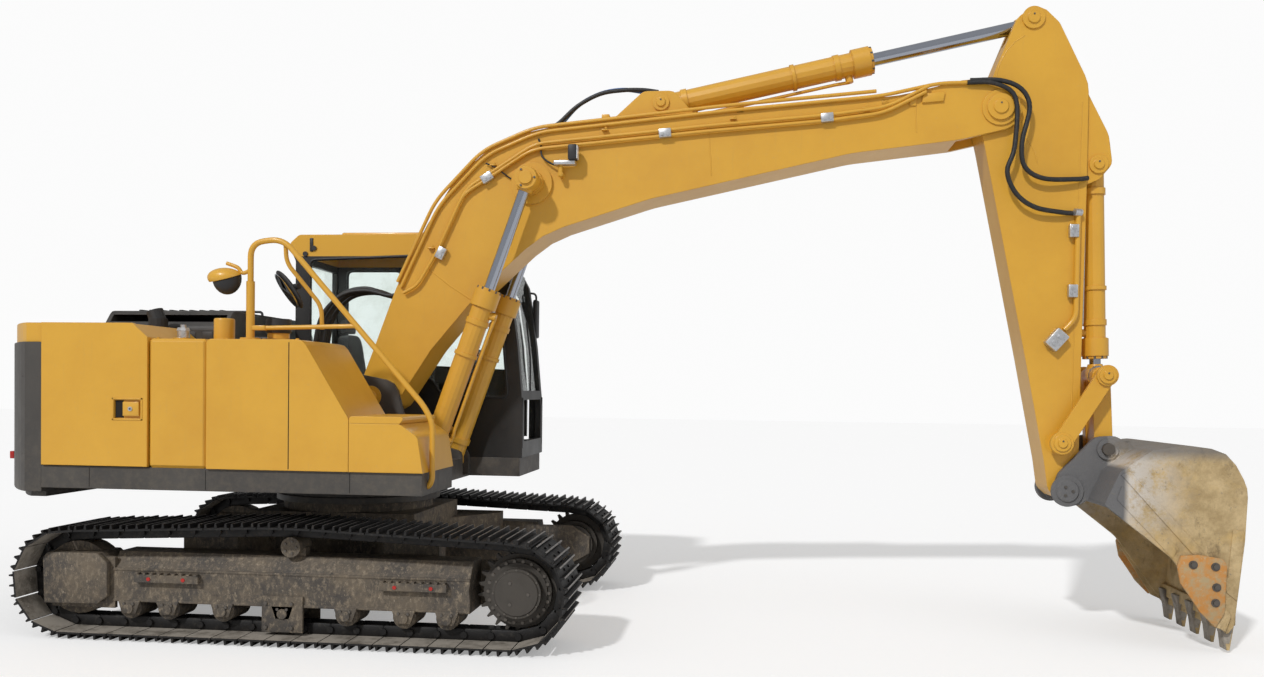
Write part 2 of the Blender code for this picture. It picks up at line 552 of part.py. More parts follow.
# handrail and mirror in front of the right-hand tanks
RAIL_Y = -1.22
rail = tube(bend([(-0.36, RAIL_Y, TANK_Z + 0.0005), (-0.36, RAIL_Y, 2.82), (-0.13, RAIL_Y, 2.85),
                  (0.93, RAIL_Y, 1.68), (0.99, RAIL_Y, 1.56), (0.99, RAIL_Y, 1.10)], 0.12), 0.02)
rail = join(rail, box(0.96 + GAP, 1.0, RAIL_Y - 0.03, RAIL_Y + 0.03, 1.09, 1.15))
rail = join(rail, tube([(-0.36, RAIL_Y, 2.22), (0.43, RAIL_Y, 2.235)], 0.016))
node("handrail_right", rail, "yellow", (0, -1.22, 2.2))
post = tube(bend([(0.05, -1.0, TANK_Z + 0.0005), (0.05, -1.0, 2.36), (-0.12, -1.02, 2.78)], 0.08), 0.014)
post = join(post, box(-0.13, -0.10, -1.14, -0.92, 2.44, 2.74, 0.006))
node("mirror_right", post, "black", (0.05, -1.0, 2.2))


# ---------------------------------------------------------------- cylinders
def cylinder_pair(base, end, y, reach, rod_len, r_out, r_rod, base_eye, rod_eye, pin):
    """A barrel from the base pin, and a rod from inside it to the rod's eye.

    base_eye, rod_eye and pin are the (low, high) places of those round pieces along Y."""
    b, e = Vector((base[0], y, base[1])), Vector((end[0], y, end[1]))
    d = (e - b).normalized()
    barrel = rod(b + d * 0.02, b + d * reach, r_out)
    barrel = join(barrel, rod(b + d * (reach - 0.16), b + d * reach, r_out + 0.012),
                  disc(base, y - EYE_HALF, y + EYE_HALF, r_out + 0.005), disc(base, *base_eye, 0.062))
    barrel = cut(barrel, rod(b + d * 0.13, b + d * (reach + 0.1), r_rod + 0.006, sides=14))
    barrel = join(barrel, disc(base, *pin, 0.04, 12))
    shaft = join(rod(e - d * rod_len, e - d * 0.02, r_rod, sides=14), disc(end, *rod_eye, r_rod + 0.038))
    return barrel, shaft


def spread(a, b, s):
    """The two distances a and b from the middle, on side s, in rising order."""
    return tuple(sorted((s * a, s * b)))


for side, s in (("right", -1), ("left", 1)):
    barrel, shaft = cylinder_pair(
        BOOM_CYL_BASE, BOOM_CYL_ROD, s * CYL_Y, 1.478, 1.46, 0.083, 0.043,
        spread(TOWER_Y + GAP, EAR_Y - GAP, s), spread(CYL_Y - EYE_HALF, CYL_Y + EYE_HALF, s),
        spread(TOWER_Y + 0.023, EAR_Y + 0.032, s))
    node("boom_cylinder_barrel_" + side, barrel, "yellow", at_pin(BOOM_CYL_BASE))
    node("boom_cylinder_rod_" + side, shaft, "chrome", at_pin(BOOM_CYL_ROD))
barrel, shaft = cylinder_pair(STICK_CYL_BASE, STICK_CYL_ROD, 0, 1.673, 1.78, 0.092, 0.048,
                              spread(GAP - 0.105, 0.105 - GAP, 1), spread(GAP - FORK_Y, FORK_Y - GAP, 1),
                              (-0.135, 0.135))
node("stick_cylinder_barrel", barrel, "yellow", at_pin(STICK_CYL_BASE))
node("stick_cylinder_rod", shaft, "chrome", at_pin(STICK_CYL_ROD))
barrel, shaft = cylinder_pair(BUCKET_CYL_BASE, LINK_TOP, 0, 1.46, 1.40, 0.078, 0.040,
                              spread(GAP - 0.093, 0.093 - GAP, 1), spread(GAP - CHEEK_Y, CHEEK_Y - GAP, 1),
                              (-0.13, 0.13))
node("bucket_cylinder_barrel", barrel, "yellow", at_pin(BUCKET_CYL_BASE))
node("bucket_cylinder_rod", shaft, "chrome", at_pin(LINK_TOP))

# ---------------------------------------------------------------- boom
BOOM = [(0.04, 1.74, 0.12), (0.20, 2.16, 0.5), (0.37, 2.62, 0.8), (0.62, 3.12, 0.6), (0.86, 3.50, 0.6),
        (1.22, 3.80, 0.6), (1.75, 3.91, 0.8), (4.30, 4.08, 1.0), (4.82, 4.20, 0.2), (5.22, 4.06, 0.16),
        (5.20, 3.84, 0.14), (4.75, 3.74, 0.3), (3.96, 3.65, 1.0), (2.40, 3.31, 1.2), (1.55, 3.04, 0.8),
        (1.05, 2.58, 0.8), (0.66, 2.12, 0.5), (0.36, 1.66, 0.12), (0.17, 1.57, 0.12)]
boom = outline(soften(BOOM), "Y", -BOOM_HALF, BOOM_HALF)
boom = cut(boom, outline([(4.75, 3.5), (4.72, 3.95), (4.33, 4.06), (4.33, 4.5), (5.6, 4.5), (5.6, 3.5)], "Y",
                         -STICK_HALF - NOSE_GAP, STICK_HALF + NOSE_GAP))
for q in (-0.125, 0.125):                            # stick cylinder bracket
    ear = outline(soften([(2.02, 3.88, 0), (2.34, 4.17, 0.08), (2.58, 4.17, 0.08), (2.80, 3.92, 0)]), "Y",
                  q - 0.02, q + 0.02)
    boom = join(boom, cut(ear, disc(STICK_CYL_BASE, q - 0.1, q + 0.1, 0.046, 12)))
eye = CYL_Y - EYE_HALF - GAP
boom = join(boom, disc(BOOM_CYL_ROD, -eye, eye, 0.10), disc(BOOM_FOOT, GAP - TOWER_IN, TOWER_IN - GAP, 0.11),
            disc(BOOM_FOOT, -TOWER_Y - 0.013, TOWER_Y + 0.013, 0.05))
boom = cut(boom, disc(BOOM_TIP, -0.3, 0.3, 0.052, 14))
node("boom", boom, "yellow", at_pin(BOOM_FOOT))

# ---------------------------------------------------------------- stick
STICK = [(4.90, 3.92, 0.10), (5.02, 4.28, 0.3), (5.17, 4.66, 0.10), (5.32, 4.78, 0.10), (5.48, 4.62, 0.10),
         (5.70, 4.16, 0.3), (5.70, 3.42, 0.3), (5.685, 2.08, 0.5), (5.68, 1.16, 0.08), (5.585, 0.99, 0.10),
         (5.46, 1.10, 0.08), (5.43, 1.31, 0.3), (5.28, 2.08, 0.8), (4.95, 3.70, 0.15)]
stick = outline(soften(STICK), "Y", -STICK_HALF, STICK_HALF)
stick = cut(stick, box(5.0, 5.7, -FORK_Y, FORK_Y, 4.50, 5.0))           # fork for the stick cylinder's rod
for q in (-0.115, 0.115):                            # bucket cylinder ears
    ear = outline(soften([(5.60, 4.30, 0), (5.86, 3.78, 0.2), (5.89, 3.56, 0.07), (5.80, 3.45, 0.07),
                          (5.60, 3.36, 0)]), "Y", q - 0.022, q + 0.022)
    stick = join(stick, cut(ear, disc(BUCKET_CYL_BASE, q - 0.1, q + 0.1, 0.046, 12)))
stick = cut(stick, disc(BUCKET_PIN, -0.3, 0.3, 0.050, 14), disc(ROCKER_PIN, -0.3, 0.3, 0.042, 12))
nose = STICK_HALF + NOSE_GAP - GAP
tip_pin = BOOM_HALF + 0.015
stick = join(stick, disc(BOOM_TIP, -nose, nose, 0.11), disc(BOOM_TIP, -tip_pin, tip_pin, 0.045))
node("stick", stick, "yellow", at_pin(BOOM_TIP))

# ---------------------------------------------------------------- bucket linkage
def bar(p, q, r, y0, y1):
    """A flat link with round ends between two pins."""
    a = math.atan2(q[1] - p[1], q[0] - p[0])
    pts = []
    for k in range(9):
        t = a + math.pi / 2 + math.pi * k / 8
        pts.append((p[0] + r * math.cos(t), p[1] + r * math.sin(t)))
    for k in range(9):
        t = a - math.pi / 2 + math.pi * k / 8
        pts.append((q[0] + r * math.cos(t), q[1] + r * math.sin(t)))
    return outline(pts, "Y", y0, y1)


for side, s in (("right", -1), ("left", 1)):
    link = cut(bar(ROCKER_PIN, LINK_TOP, 0.068, *spread(LINK_IN, LINK_IN + LINK_T, s)),
               disc(LINK_TOP, -0.4, 0.4, 0.041, 12))
    link = join(link, disc(ROCKER_PIN, *spread(STICK_HALF + GAP, LINK_IN + 0.01, s), 0.062),
                disc(ROCKER_PIN, *spread(0.08, LINK_IN + 0.01, s), 0.037, 12))
    node("rocker_link_" + side, link, "charcoal", at_pin(ROCKER_PIN))
power = None
for s in (-1, 1):
    cheek = bar(LINK_TOP, LINK_LOW, 0.066, *spread(CHEEK_Y, 0.14, s))
    cheek = join(cheek, disc(LINK_TOP, *spread(0.10, LINK_IN - GAP, s), 0.055),
                 disc(LINK_TOP, *spread(0.10, LINK_IN + LINK_T + 0.021, s), 0.036, 12),
                 disc(LINK_LOW, *spread(0.10, BUCKET_EAR - GAP, s), 0.055))
    power = cheek if power is None else join(power, cheek)
mid = ((LINK_TOP[0] + LINK_LOW[0]) / 2, LINK_LOW[1] + 0.10)
power = join(power, box(mid[0] - 0.045, mid[0] + 0.045, -0.10, 0.10, LINK_LOW[1] + 0.02, LINK_LOW[1] + 0.26))
node("power_link", power, "charcoal", at_pin(LINK_TOP))

# ---------------------------------------------------------------- bucket, written from its hinge pin
BX, BZ = BUCKET_PIN
B_OUT = [(0.15, -0.06, 0.02), (0.25, 0.17, 0.06), (0.47, 0.335, 0.06), (0.70, 0.375, 0.2),
         (0.98, 0.34, 0.22), (1.12, 0.08, 0.25), (1.105, -0.30, 0.5), (1.045, -0.90, 0.05),
         (1.00, -0.96, 0.01), (0.955, -0.90, 0.01), (0.62, -0.43, 0.25)]
B_IN = [(0.14, -0.20, 0), (0.185, -0.06, 0), (0.28, 0.15, 0.06), (0.485, 0.303, 0.06), (0.70, 0.342, 0.2),
        (0.955, 0.31, 0.20), (1.085, 0.07, 0.23), (1.07, -0.30, 0.5), (1.005, -0.90, 0.0),
        (0.98, -1.2, 0), (0.2, -1.2, 0)]
hw = BUCKET_W / 2
shell = outline(soften([(BX + u, BZ + v, r) for u, v, r in B_OUT]), "Y", -hw, hw)
lip = (BX + 1.005, BZ - 0.93)
for k in range(5):                                   # teeth
    ty = -hw + 0.083 + k * (BUCKET_W - 0.166) / 4
    tooth = outline([(lip[0] + 0.064, lip[1] + 0.09), (lip[0] - 0.040, lip[1] + 0.11),
                     (lip[0] + 0.012, lip[1] - 0.15), (lip[0] + 0.030, lip[1] - 0.15)], "Y",
                    ty - 0.045, ty + 0.045)
    shell = join(shell, tooth)
cavity = outline(soften([(BX + u, BZ + v, r) for u, v, r in B_IN]), "Y", -hw + 0.03, hw - 0.03)
shell = cut(shell, cavity)
HINGE = [(-0.10, 0.0, 0.08), (-0.06, 0.13, 0.08), (0.20, 0.41, 0.1), (0.34, 0.42, 0.08), (0.495, 0.33, 0),
         (0.46, 0.31, 0), (0.265, 0.16, 0), (0.16, -0.06, 0), (0.10, -0.10, 0.05), (0.0, -0.12, 0.08)]
for s in (-1, 1):
    ear = outline(soften([(BX + u, BZ + v, r) for u, v, r in HINGE]), "Y",
                  *spread(BUCKET_EAR, BUCKET_EAR + EAR_PLATE, s))
    shell = join(shell, ear, disc(BUCKET_PIN, *spread(STICK_HALF + GAP, BUCKET_EAR + 0.01, s), 0.075))
pin_half = BUCKET_EAR + EAR_PLATE + 0.010
shell = join(shell, disc(BUCKET_PIN, -pin_half, pin_half, 0.043))
CUTTER = [(0.655, -0.50), (0.75, -0.41), (1.015, -0.83), (0.98, -0.935), (0.915, -0.905)]
for s in (-1, 1):                                    # side cutters
    lo, hi = sorted((s * (hw - 0.01), s * (hw + 0.02)))
    cutter = outline([(BX + u, BZ + v) for u, v in CUTTER], "Y", lo, hi)
    shell = boolean(shell, [cutter], "UNION", "MANIFOLD")
node("bucket", shell, "worn", at_pin(BUCKET_PIN))

for ob in list(cutters.objects):
    bpy.data.objects.remove(ob, do_unlink=True)
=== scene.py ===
"""Looks of a crawler excavator: finishes, track shoes, tubes, hoses, cab fittings and wear."""
import json
import math

import bmesh
import bpy
from mathutils import Matrix, Vector


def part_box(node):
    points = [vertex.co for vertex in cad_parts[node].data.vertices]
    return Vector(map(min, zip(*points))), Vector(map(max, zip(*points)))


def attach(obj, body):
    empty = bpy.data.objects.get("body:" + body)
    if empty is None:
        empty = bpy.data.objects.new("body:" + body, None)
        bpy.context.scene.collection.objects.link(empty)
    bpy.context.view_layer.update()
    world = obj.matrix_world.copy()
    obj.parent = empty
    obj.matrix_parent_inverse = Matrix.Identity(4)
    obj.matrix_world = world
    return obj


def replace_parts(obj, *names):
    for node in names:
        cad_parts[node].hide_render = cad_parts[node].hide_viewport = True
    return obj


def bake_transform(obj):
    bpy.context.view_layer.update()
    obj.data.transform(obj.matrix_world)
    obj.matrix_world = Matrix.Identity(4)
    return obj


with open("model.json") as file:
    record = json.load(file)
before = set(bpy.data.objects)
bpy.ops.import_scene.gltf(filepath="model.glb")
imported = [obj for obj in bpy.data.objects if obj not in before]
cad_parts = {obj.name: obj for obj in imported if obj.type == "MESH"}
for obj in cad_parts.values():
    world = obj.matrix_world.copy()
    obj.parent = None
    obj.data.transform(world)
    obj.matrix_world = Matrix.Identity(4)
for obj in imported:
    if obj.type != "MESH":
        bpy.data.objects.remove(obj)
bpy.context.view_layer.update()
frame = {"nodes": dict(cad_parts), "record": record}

# ------------------------------------------------------------------ places, from the frame
JOINTS = {j["name"]: j for j in frame["record"]["behaviour"]["joints"]}
SWING_X = JOINTS["swing"]["pos_m"][0]
HALF_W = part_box("cab_shell")[1][1]
DECK_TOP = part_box("hydraulic_tank")[0][2]
TANK_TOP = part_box("hydraulic_tank")[1][2]
SIDES = {"right": -1, "left": 1}

# half widths of the boom's and stick's boxes, and the bucket's width between its side plates' outer faces
BOOM_HALF, STICK_HALF = 0.21, 0.165
BUCKET_WIDTH = 1.19

# thickness of the hoses at the boom's foot and the stick cylinder, and of the two at the stick
HOSE, STICK_HOSE = 0.034, 0.036


def span_of(node, axis):
    """Where a CAD node begins and ends along one axis."""
    low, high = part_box(node)
    return round(low[axis], 4), round(high[axis], 4)


def joint_pin(joint):
    """A joint's pin as (x, z), written from the swing axis."""
    x, _, z = JOINTS[joint]["pos_m"]
    return round(x - SWING_X, 4), z


TRACK_IN, TRACK_OUT = span_of("track_left", 1)
SHOE_W = round(TRACK_OUT - TRACK_IN, 4)
TRACK_Y = round((TRACK_IN + TRACK_OUT) / 2, 4)
WHEEL_X = round(sum(span_of("sprocket_left", 0)) / 2 - SWING_X, 4)
WHEEL_Z = round(sum(span_of("sprocket_left", 2)) / 2, 4)

BOOM_FOOT, BOOM_TIP, BUCKET_PIN = joint_pin("boom"), joint_pin("stick"), joint_pin("bucket")
BOOM_CYL_BASE = joint_pin("boom_cylinder_turn")
STICK_CYL_BASE = joint_pin("stick_cylinder_turn")
BUCKET_CYL_BASE = joint_pin("bucket_cylinder_turn")
ROCKER_PIN, LINK_TOP = joint_pin("rocker_turn"), joint_pin("power_link_turn")
# pivots that are open in the tree of joints, so that no joint gives their place
BOOM_CYL_ROD, STICK_CYL_ROD, LINK_LOW = (1.47, 3.44), (5.29, 4.66), (5.87, 1.42)


def at(x, y, z):
    """A point written from the swing axis, in the frame."""
    return Vector((x + SWING_X, y, z))


# ------------------------------------------------------------------ camera, light and floor
def make_camera():
    """A low view of the machine's right side."""
    data = bpy.data.cameras.new("camera")
    data.lens = 29.905
    data.shift_y = 0.0570
    ob = bpy.data.objects.new("camera", data)
    bpy.context.scene.collection.objects.link(ob)
    right = Vector((0.99378, 0.11066, 0.01274))
    up = Vector((-0.01472, 0.01715, 0.99974))
    back = right.cross(up)
    turn = Matrix((right, up, back)).transposed().to_4x4()
    ob.matrix_world = Matrix.Translation(at(3.20, -8.41, 1.81)) @ turn
    bpy.context.scene.camera = ob


def make_lights():
    """A high sun from behind on the machine's right, and a weak wide fill."""
    for name, turn, energy, size in (("key", (50, 6, -32), 1.85, 3), ("fill", (62, 0, 60), 0.25, 40)):
        data = bpy.data.lights.new(name, "SUN")
        data.energy = energy
        data.angle = math.radians(size)
        ob = bpy.data.objects.new(name, data)
        ob.rotation_euler = [math.radians(a) for a in turn]
        bpy.context.scene.collection.objects.link(ob)


def make_world():
    """Pale surroundings: near white to the eye, dimmer as a light."""
    world = bpy.data.worlds.new("pale_studio")
    bpy.context.scene.world = world
    world.use_nodes = True
    tree = world.node_tree
    path = tree.nodes.new("ShaderNodeLightPath")
    seen = tree.nodes.new("ShaderNodeMath")
    seen.operation = "MAXIMUM"
    tree.links.new(path.outputs["Is Camera Ray"], seen.inputs[0])
    tree.links.new(path.outputs["Is Transmission Ray"], seen.inputs[1])
    level = tree.nodes.new("ShaderNodeMapRange")
    level.inputs["To Min"].default_value = 0.40
    level.inputs["To Max"].default_value = 0.97
    tree.links.new(seen.outputs[0], level.inputs["Value"])
    sky = tree.nodes["Background"]
    sky.inputs["Color"].default_value = (1.0, 1.0, 1.0, 1)
    tree.links.new(level.outputs["Result"], sky.inputs["Strength"])


def make_floor():
    """A wide pale floor that glows a little to the camera."""
    bm = bmesh.new()
    bmesh.ops.create_grid(bm, x_segments=1, y_segments=1, size=60)
    mesh = bpy.data.meshes.new("floor")
    bm.to_mesh(mesh)
    bm.free()
    ob = bpy.data.objects.new("floor", mesh)
    ob.location.z = -0.002
    bpy.context.scene.collection.objects.link(ob)
    mat = bpy.data.materials.new("pale_floor")
    mat.use_nodes = True
    shader = mat.node_tree.nodes["Principled BSDF"]
    shader.inputs["Base Color"].default_value = (0.80, 0.80, 0.80, 1)
    shader.inputs["Roughness"].default_value = 0.9
    shader.inputs["Emission Color"].default_value = (1, 1, 1, 1)
    path = mat.node_tree.nodes.new("ShaderNodeLightPath")
    glow = mat.node_tree.nodes.new("ShaderNodeMath")
    glow.operation = "MULTIPLY"
    glow.inputs[1].default_value = 0.30
    mat.node_tree.links.new(path.outputs["Is Camera Ray"], glow.inputs[0])
    mat.node_tree.links.new(glow.outputs[0], shader.inputs["Emission Strength"])
    mesh.materials.append(mat)


# ------------------------------------------------------------------ finishes
class Finish:
    """A Principled material with noise, dust and bump built on Object coordinates."""

    def __init__(self, name, colour, roughness=0.5, metallic=0.0):
        self.mat = bpy.data.materials.new(name)
        self.mat.use_nodes = True
        self.tree = self.mat.node_tree
        self.shader = self.tree.nodes["Principled BSDF"]
        self.shader.inputs["Base Color"].default_value = (*colour, 1)
        self.shader.inputs["Roughness"].default_value = roughness
        self.shader.inputs["Metallic"].default_value = metallic
        self.coord = self.tree.nodes.new("ShaderNodeTexCoord")
        self.colour = None
        self.base = colour

    def noise(self, scale, detail=4.0, rough=0.6, stretch=(1, 1, 1)):
        spread = self.tree.nodes.new("ShaderNodeMapping")
        spread.inputs["Scale"].default_value = stretch
        self.tree.links.new(self.coord.outputs["Object"], spread.inputs["Vector"])
        node = self.tree.nodes.new("ShaderNodeTexNoise")
        node.inputs["Scale"].default_value = scale
        node.inputs["Detail"].default_value = detail
        node.inputs["Roughness"].default_value = rough
        self.tree.links.new(spread.outputs["Vector"], node.inputs["Vector"])
        return node.outputs["Fac"]

    def height(self, axis, low, high):
        """0 to 1 as the place along one axis goes from low to high."""
        split = self.tree.nodes.new("ShaderNodeSeparateXYZ")
        self.tree.links.new(self.coord.outputs["Object"], split.inputs["Vector"])
        return self.span(split.outputs[axis], low, high)

    def span(self, value, low, high):
        node = self.tree.nodes.new("ShaderNodeMapRange")
        node.inputs["From Min"].default_value = low
        node.inputs["From Max"].default_value = high
        self.tree.links.new(value, node.inputs["Value"])
        return node.outputs["Result"]

    def math(self, kind, a, b):
        node = self.tree.nodes.new("ShaderNodeMath")
        node.operation = kind
        for socket, value in zip(node.inputs, (a, b)):
            if isinstance(value, (int, float)):
                socket.default_value = value
            else:
                self.tree.links.new(value, socket)
        return node.outputs[0]

    def over(self, colour, amount):
        """Lay a second colour over what is there, by an amount from 0 to 1."""
        mix = self.tree.nodes.new("ShaderNodeMix")
        mix.data_type = "RGBA"
        if self.colour is None:
            mix.inputs[6].default_value = (*self.base, 1)
        else:
            self.tree.links.new(self.colour, mix.inputs[6])
        mix.inputs[7].default_value = (*colour, 1)
        self.tree.links.new(amount, mix.inputs[0])
        self.colour = mix.outputs[2]
        self.tree.links.new(self.colour, self.shader.inputs["Base Color"])
        return self

    def gloss(self, value, low, high):
        node = self.tree.nodes.new("ShaderNodeMapRange")
        node.inputs["To Min"].default_value = low
        node.inputs["To Max"].default_value = high
        self.tree.links.new(value, node.inputs["Value"])
        self.tree.links.new(node.outputs["Result"], self.shader.inputs["Roughness"])
        return self

    def bump(self, value, strength, distance, edge=0.0):
        node = self.tree.nodes.new("ShaderNodeBump")
        node.inputs["Strength"].default_value = strength
        node.inputs["Distance"].default_value = distance
        self.tree.links.new(value, node.inputs["Height"])
        if edge:
            soft = self.tree.nodes.new("ShaderNodeBevel")
            soft.samples = 4
            soft.inputs["Radius"].default_value = edge
            self.tree.links.new(soft.outputs["Normal"], node.inputs["Normal"])
        self.tree.links.new(node.outputs["Normal"], self.shader.inputs["Normal"])
        return self


DUST = (0.42, 0.33, 0.21)
MUD = (0.27, 0.215, 0.15)


def yellow_paint():
    f = Finish("yellow_paint", (0.735, 0.395, 0.038), 0.38)
    clouds = f.noise(1.6, 5, 0.65)
    f.over((0.66, 0.335, 0.028), f.span(clouds, 0.35, 0.75))
    streaks = f.noise(9.0, 6, 0.7, (3.0, 3.0, 0.25))
    f.over((0.60, 0.34, 0.06), f.math("MULTIPLY", f.span(streaks, 0.58, 0.85), 0.5))
    f.over(DUST, f.math("MULTIPLY", f.span(f.noise(60, 3), 0.60, 0.85), 0.22))
    f.gloss(clouds, 0.30, 0.52)
    f.shader.inputs["Coat Weight"].default_value = 0.25
    f.shader.inputs["Coat Roughness"].default_value = 0.18
    f.bump(f.noise(140, 2), 0.05, 0.002, 0.008)
    return f.mat


def charcoal_paint(name="charcoal_paint", colour=(0.052, 0.047, 0.043)):
    f = Finish(name, colour, 0.5)
    f.over((0.085, 0.077, 0.067), f.span(f.noise(2.5, 5, 0.65, (1, 1, 0.5)), 0.35, 0.8))
    low = f.height(2, 1.75, 1.0)
    f.over(DUST, f.math("MULTIPLY", f.math("MULTIPLY", low, f.span(f.noise(14, 6, 0.7), 0.45, 0.85)), 0.18))
    f.gloss(f.noise(8, 4), 0.38, 0.66)
    f.bump(f.noise(110, 2), 0.06, 0.002, 0.008)
    return f.mat


def cab_paint():
    """Charcoal posts and panels under a yellow roof."""
    f = Finish("cab_paint", (0.016, 0.016, 0.016), 0.42)
    f.over((0.034, 0.032, 0.030), f.span(f.noise(3, 5), 0.4, 0.8))
    f.over((0.735, 0.395, 0.038), f.math("GREATER_THAN", f.height(2, 2.955, 2.965), 0.5))
    f.gloss(f.noise(6, 4), 0.28, 0.5)
    f.bump(f.noise(120, 2), 0.04, 0.002, 0.008)
    return f.mat


def muddy_steel():
    """Frame paint under splashed and dried mud."""
    f = Finish("muddy_frame", (0.062, 0.054, 0.047), 0.62)
    f.over((0.15, 0.118, 0.082), f.span(f.noise(3.2, 8, 0.75), 0.40, 0.62))
    f.over(MUD, f.span(f.noise(34, 9, 0.78, (1, 1, 0.6)), 0.50, 0.66))
    f.over((0.40, 0.33, 0.24), f.span(f.noise(75, 4, 0.7, (1, 1, 0.45)), 0.63, 0.72))
    f.over((0.022, 0.020, 0.018), f.span(f.noise(20, 8, 0.75), 0.60, 0.72))
    f.gloss(f.noise(30, 6), 0.48, 0.9)
    f.bump(f.noise(70, 8, 0.75), 0.55, 0.006, 0.006)
    return f.mat


def shoe_steel():
    f = Finish("shoe_steel", (0.013, 0.012, 0.012), 0.5, 0.3)
    f.over((0.055, 0.048, 0.040), f.span(f.noise(24, 7, 0.7), 0.54, 0.78))
    f.over(MUD, f.span(f.noise(60, 5, 0.7), 0.70, 0.85))
    f.gloss(f.noise(18, 5), 0.35, 0.75)
    f.bump(f.noise(80, 6), 0.35, 0.003)
    return f.mat


def worn_edge():
    f = Finish("worn_grouser", (0.36, 0.34, 0.32), 0.34, 0.85)
    f.over((0.12, 0.10, 0.085), f.span(f.noise(30, 6), 0.48, 0.7))
    f.gloss(f.noise(40, 4), 0.25, 0.55)
    f.bump(f.noise(90, 5), 0.3, 0.002)
    return f.mat


def dusty_steel():
    f = Finish("dusty_steel", (0.34, 0.305, 0.26), 0.8)
    f.over((0.13, 0.112, 0.09), f.span(f.noise(7, 7, 0.7), 0.45, 0.66))
    f.over((0.52, 0.47, 0.40), f.span(f.noise(40, 5), 0.6, 0.78))
    f.bump(f.noise(60, 7), 0.4, 0.004)
    return f.mat


def bucket_steel():
    """Tan earth on bare steel, dark hinge plates, a pale scraped patch and rusty cutters."""
    f = Finish("bucket_steel", (0.40, 0.285, 0.135), 0.8, 0.05)
    f.over((0.60, 0.45, 0.24), f.span(f.noise(5, 8, 0.72), 0.42, 0.62))
    f.over((0.21, 0.15, 0.075), f.span(f.noise(9, 9, 0.75, (1, 1, 0.6)), 0.55, 0.68))
    f.over((0.68, 0.44, 0.13), f.math("MULTIPLY", f.span(f.noise(3.2, 6, 0.7), 0.5, 0.7), 0.55))
    near = f.height(0, BUCKET_PIN[0] + 0.78 + SWING_X, BUCKET_PIN[0] + 0.36 + SWING_X)
    patch = f.math("MULTIPLY", near, f.height(2, 0.70, 1.05))
    f.over((0.60, 0.55, 0.49), f.math("MULTIPLY", patch, f.span(f.noise(7, 9, 0.8), 0.38, 0.52)))
    hinge = f.height(0, BUCKET_PIN[0] + 0.34 + SWING_X, BUCKET_PIN[0] + 0.22 + SWING_X)
    top = f.height(2, BUCKET_PIN[1] + 0.25, BUCKET_PIN[1] + 0.33)
    f.over((0.15, 0.148, 0.150), f.math("MAXIMUM", f.span(hinge, 0.2, 0.5), f.math("MULTIPLY", top, 0.8)))
    f.over((0.20, 0.18, 0.15), f.span(f.noise(26, 6, 0.7), 0.62, 0.74))
    f.gloss(f.noise(20, 6), 0.5, 0.92)
    f.bump(f.noise(26, 10, 0.72), 0.75, 0.010, 0.006)
    return f.mat


def rusty_cutter():
    f = Finish("rusty_cutter", (0.56, 0.25, 0.06), 0.75, 0.1)
    f.over((0.44, 0.33, 0.18), f.span(f.noise(12, 8, 0.75), 0.42, 0.60))
    f.over((0.52, 0.42, 0.26), f.span(f.noise(30, 6), 0.58, 0.72))
    f.bump(f.noise(50, 8), 0.6, 0.005, 0.004)
    return f.mat


def chrome():
    f = Finish("chrome_rod", (0.46, 0.49, 0.56), 0.12, 1.0)
    f.gloss(f.noise(30, 4, 0.6, (1, 1, 0.1)), 0.08, 0.22)
    return f.mat


def zinc():
    f = Finish("zinc_clamp", (0.62, 0.63, 0.65), 0.35, 0.85)
    f.over((0.38, 0.37, 0.36), f.span(f.noise(60, 5), 0.5, 0.75))
    f.gloss(f.noise(50, 3), 0.25, 0.5)
    return f.mat


def rubber():
    f = Finish("black_rubber", (0.016, 0.016, 0.017), 0.5)
    f.over((0.05, 0.045, 0.04), f.span(f.noise(40, 5), 0.5, 0.8))
    f.bump(f.noise(220, 3), 0.15, 0.001)
    return f.mat


def plastic():
    f = Finish("black_plastic", (0.020, 0.020, 0.022), 0.5)
    f.over((0.045, 0.042, 0.040), f.span(f.noise(6, 5), 0.45, 0.8))
    f.bump(f.noise(320, 2), 0.25, 0.0008, 0.004)
    return f.mat


def cloth():
    f = Finish("seat_cloth", (0.030, 0.031, 0.035), 0.92)
    weave = f.tree.nodes.new("ShaderNodeTexVoronoi")
    weave.inputs["Scale"].default_value = 240
    f.tree.links.new(f.coord.outputs["Object"], weave.inputs["Vector"])
    f.over((0.085, 0.086, 0.092), f.span(weave.outputs["Distance"], 0.25, 0.7))
    f.shader.inputs["Sheen Weight"].default_value = 0.3
    f.bump(weave.outputs["Distance"], 0.5, 0.0015)
    return f.mat


def window_glass():
    f = Finish("window_glass", (0.90, 0.95, 0.93), 0.03)
    f.shader.inputs["Transmission Weight"].default_value = 1.0
    f.shader.inputs["IOR"].default_value = 1.2
    f.over((0.62, 0.66, 0.60), f.math("MULTIPLY", f.span(f.noise(4, 6, 0.7), 0.5, 0.8), 0.5))
    return f.mat


def plain(name, colour, roughness, metallic=0.0, marks=0.25, scale=30):
    """A small fitting's finish: its colour with fine darker marks."""
    f = Finish(name, colour, roughness, metallic)
    dark = tuple(c * 0.55 for c in colour)
    f.over(dark, f.math("MULTIPLY", f.span(f.noise(scale, 5), 0.45, 0.8), marks))
    f.bump(f.noise(scale * 4, 3), 0.1, 0.001)
    return f.mat


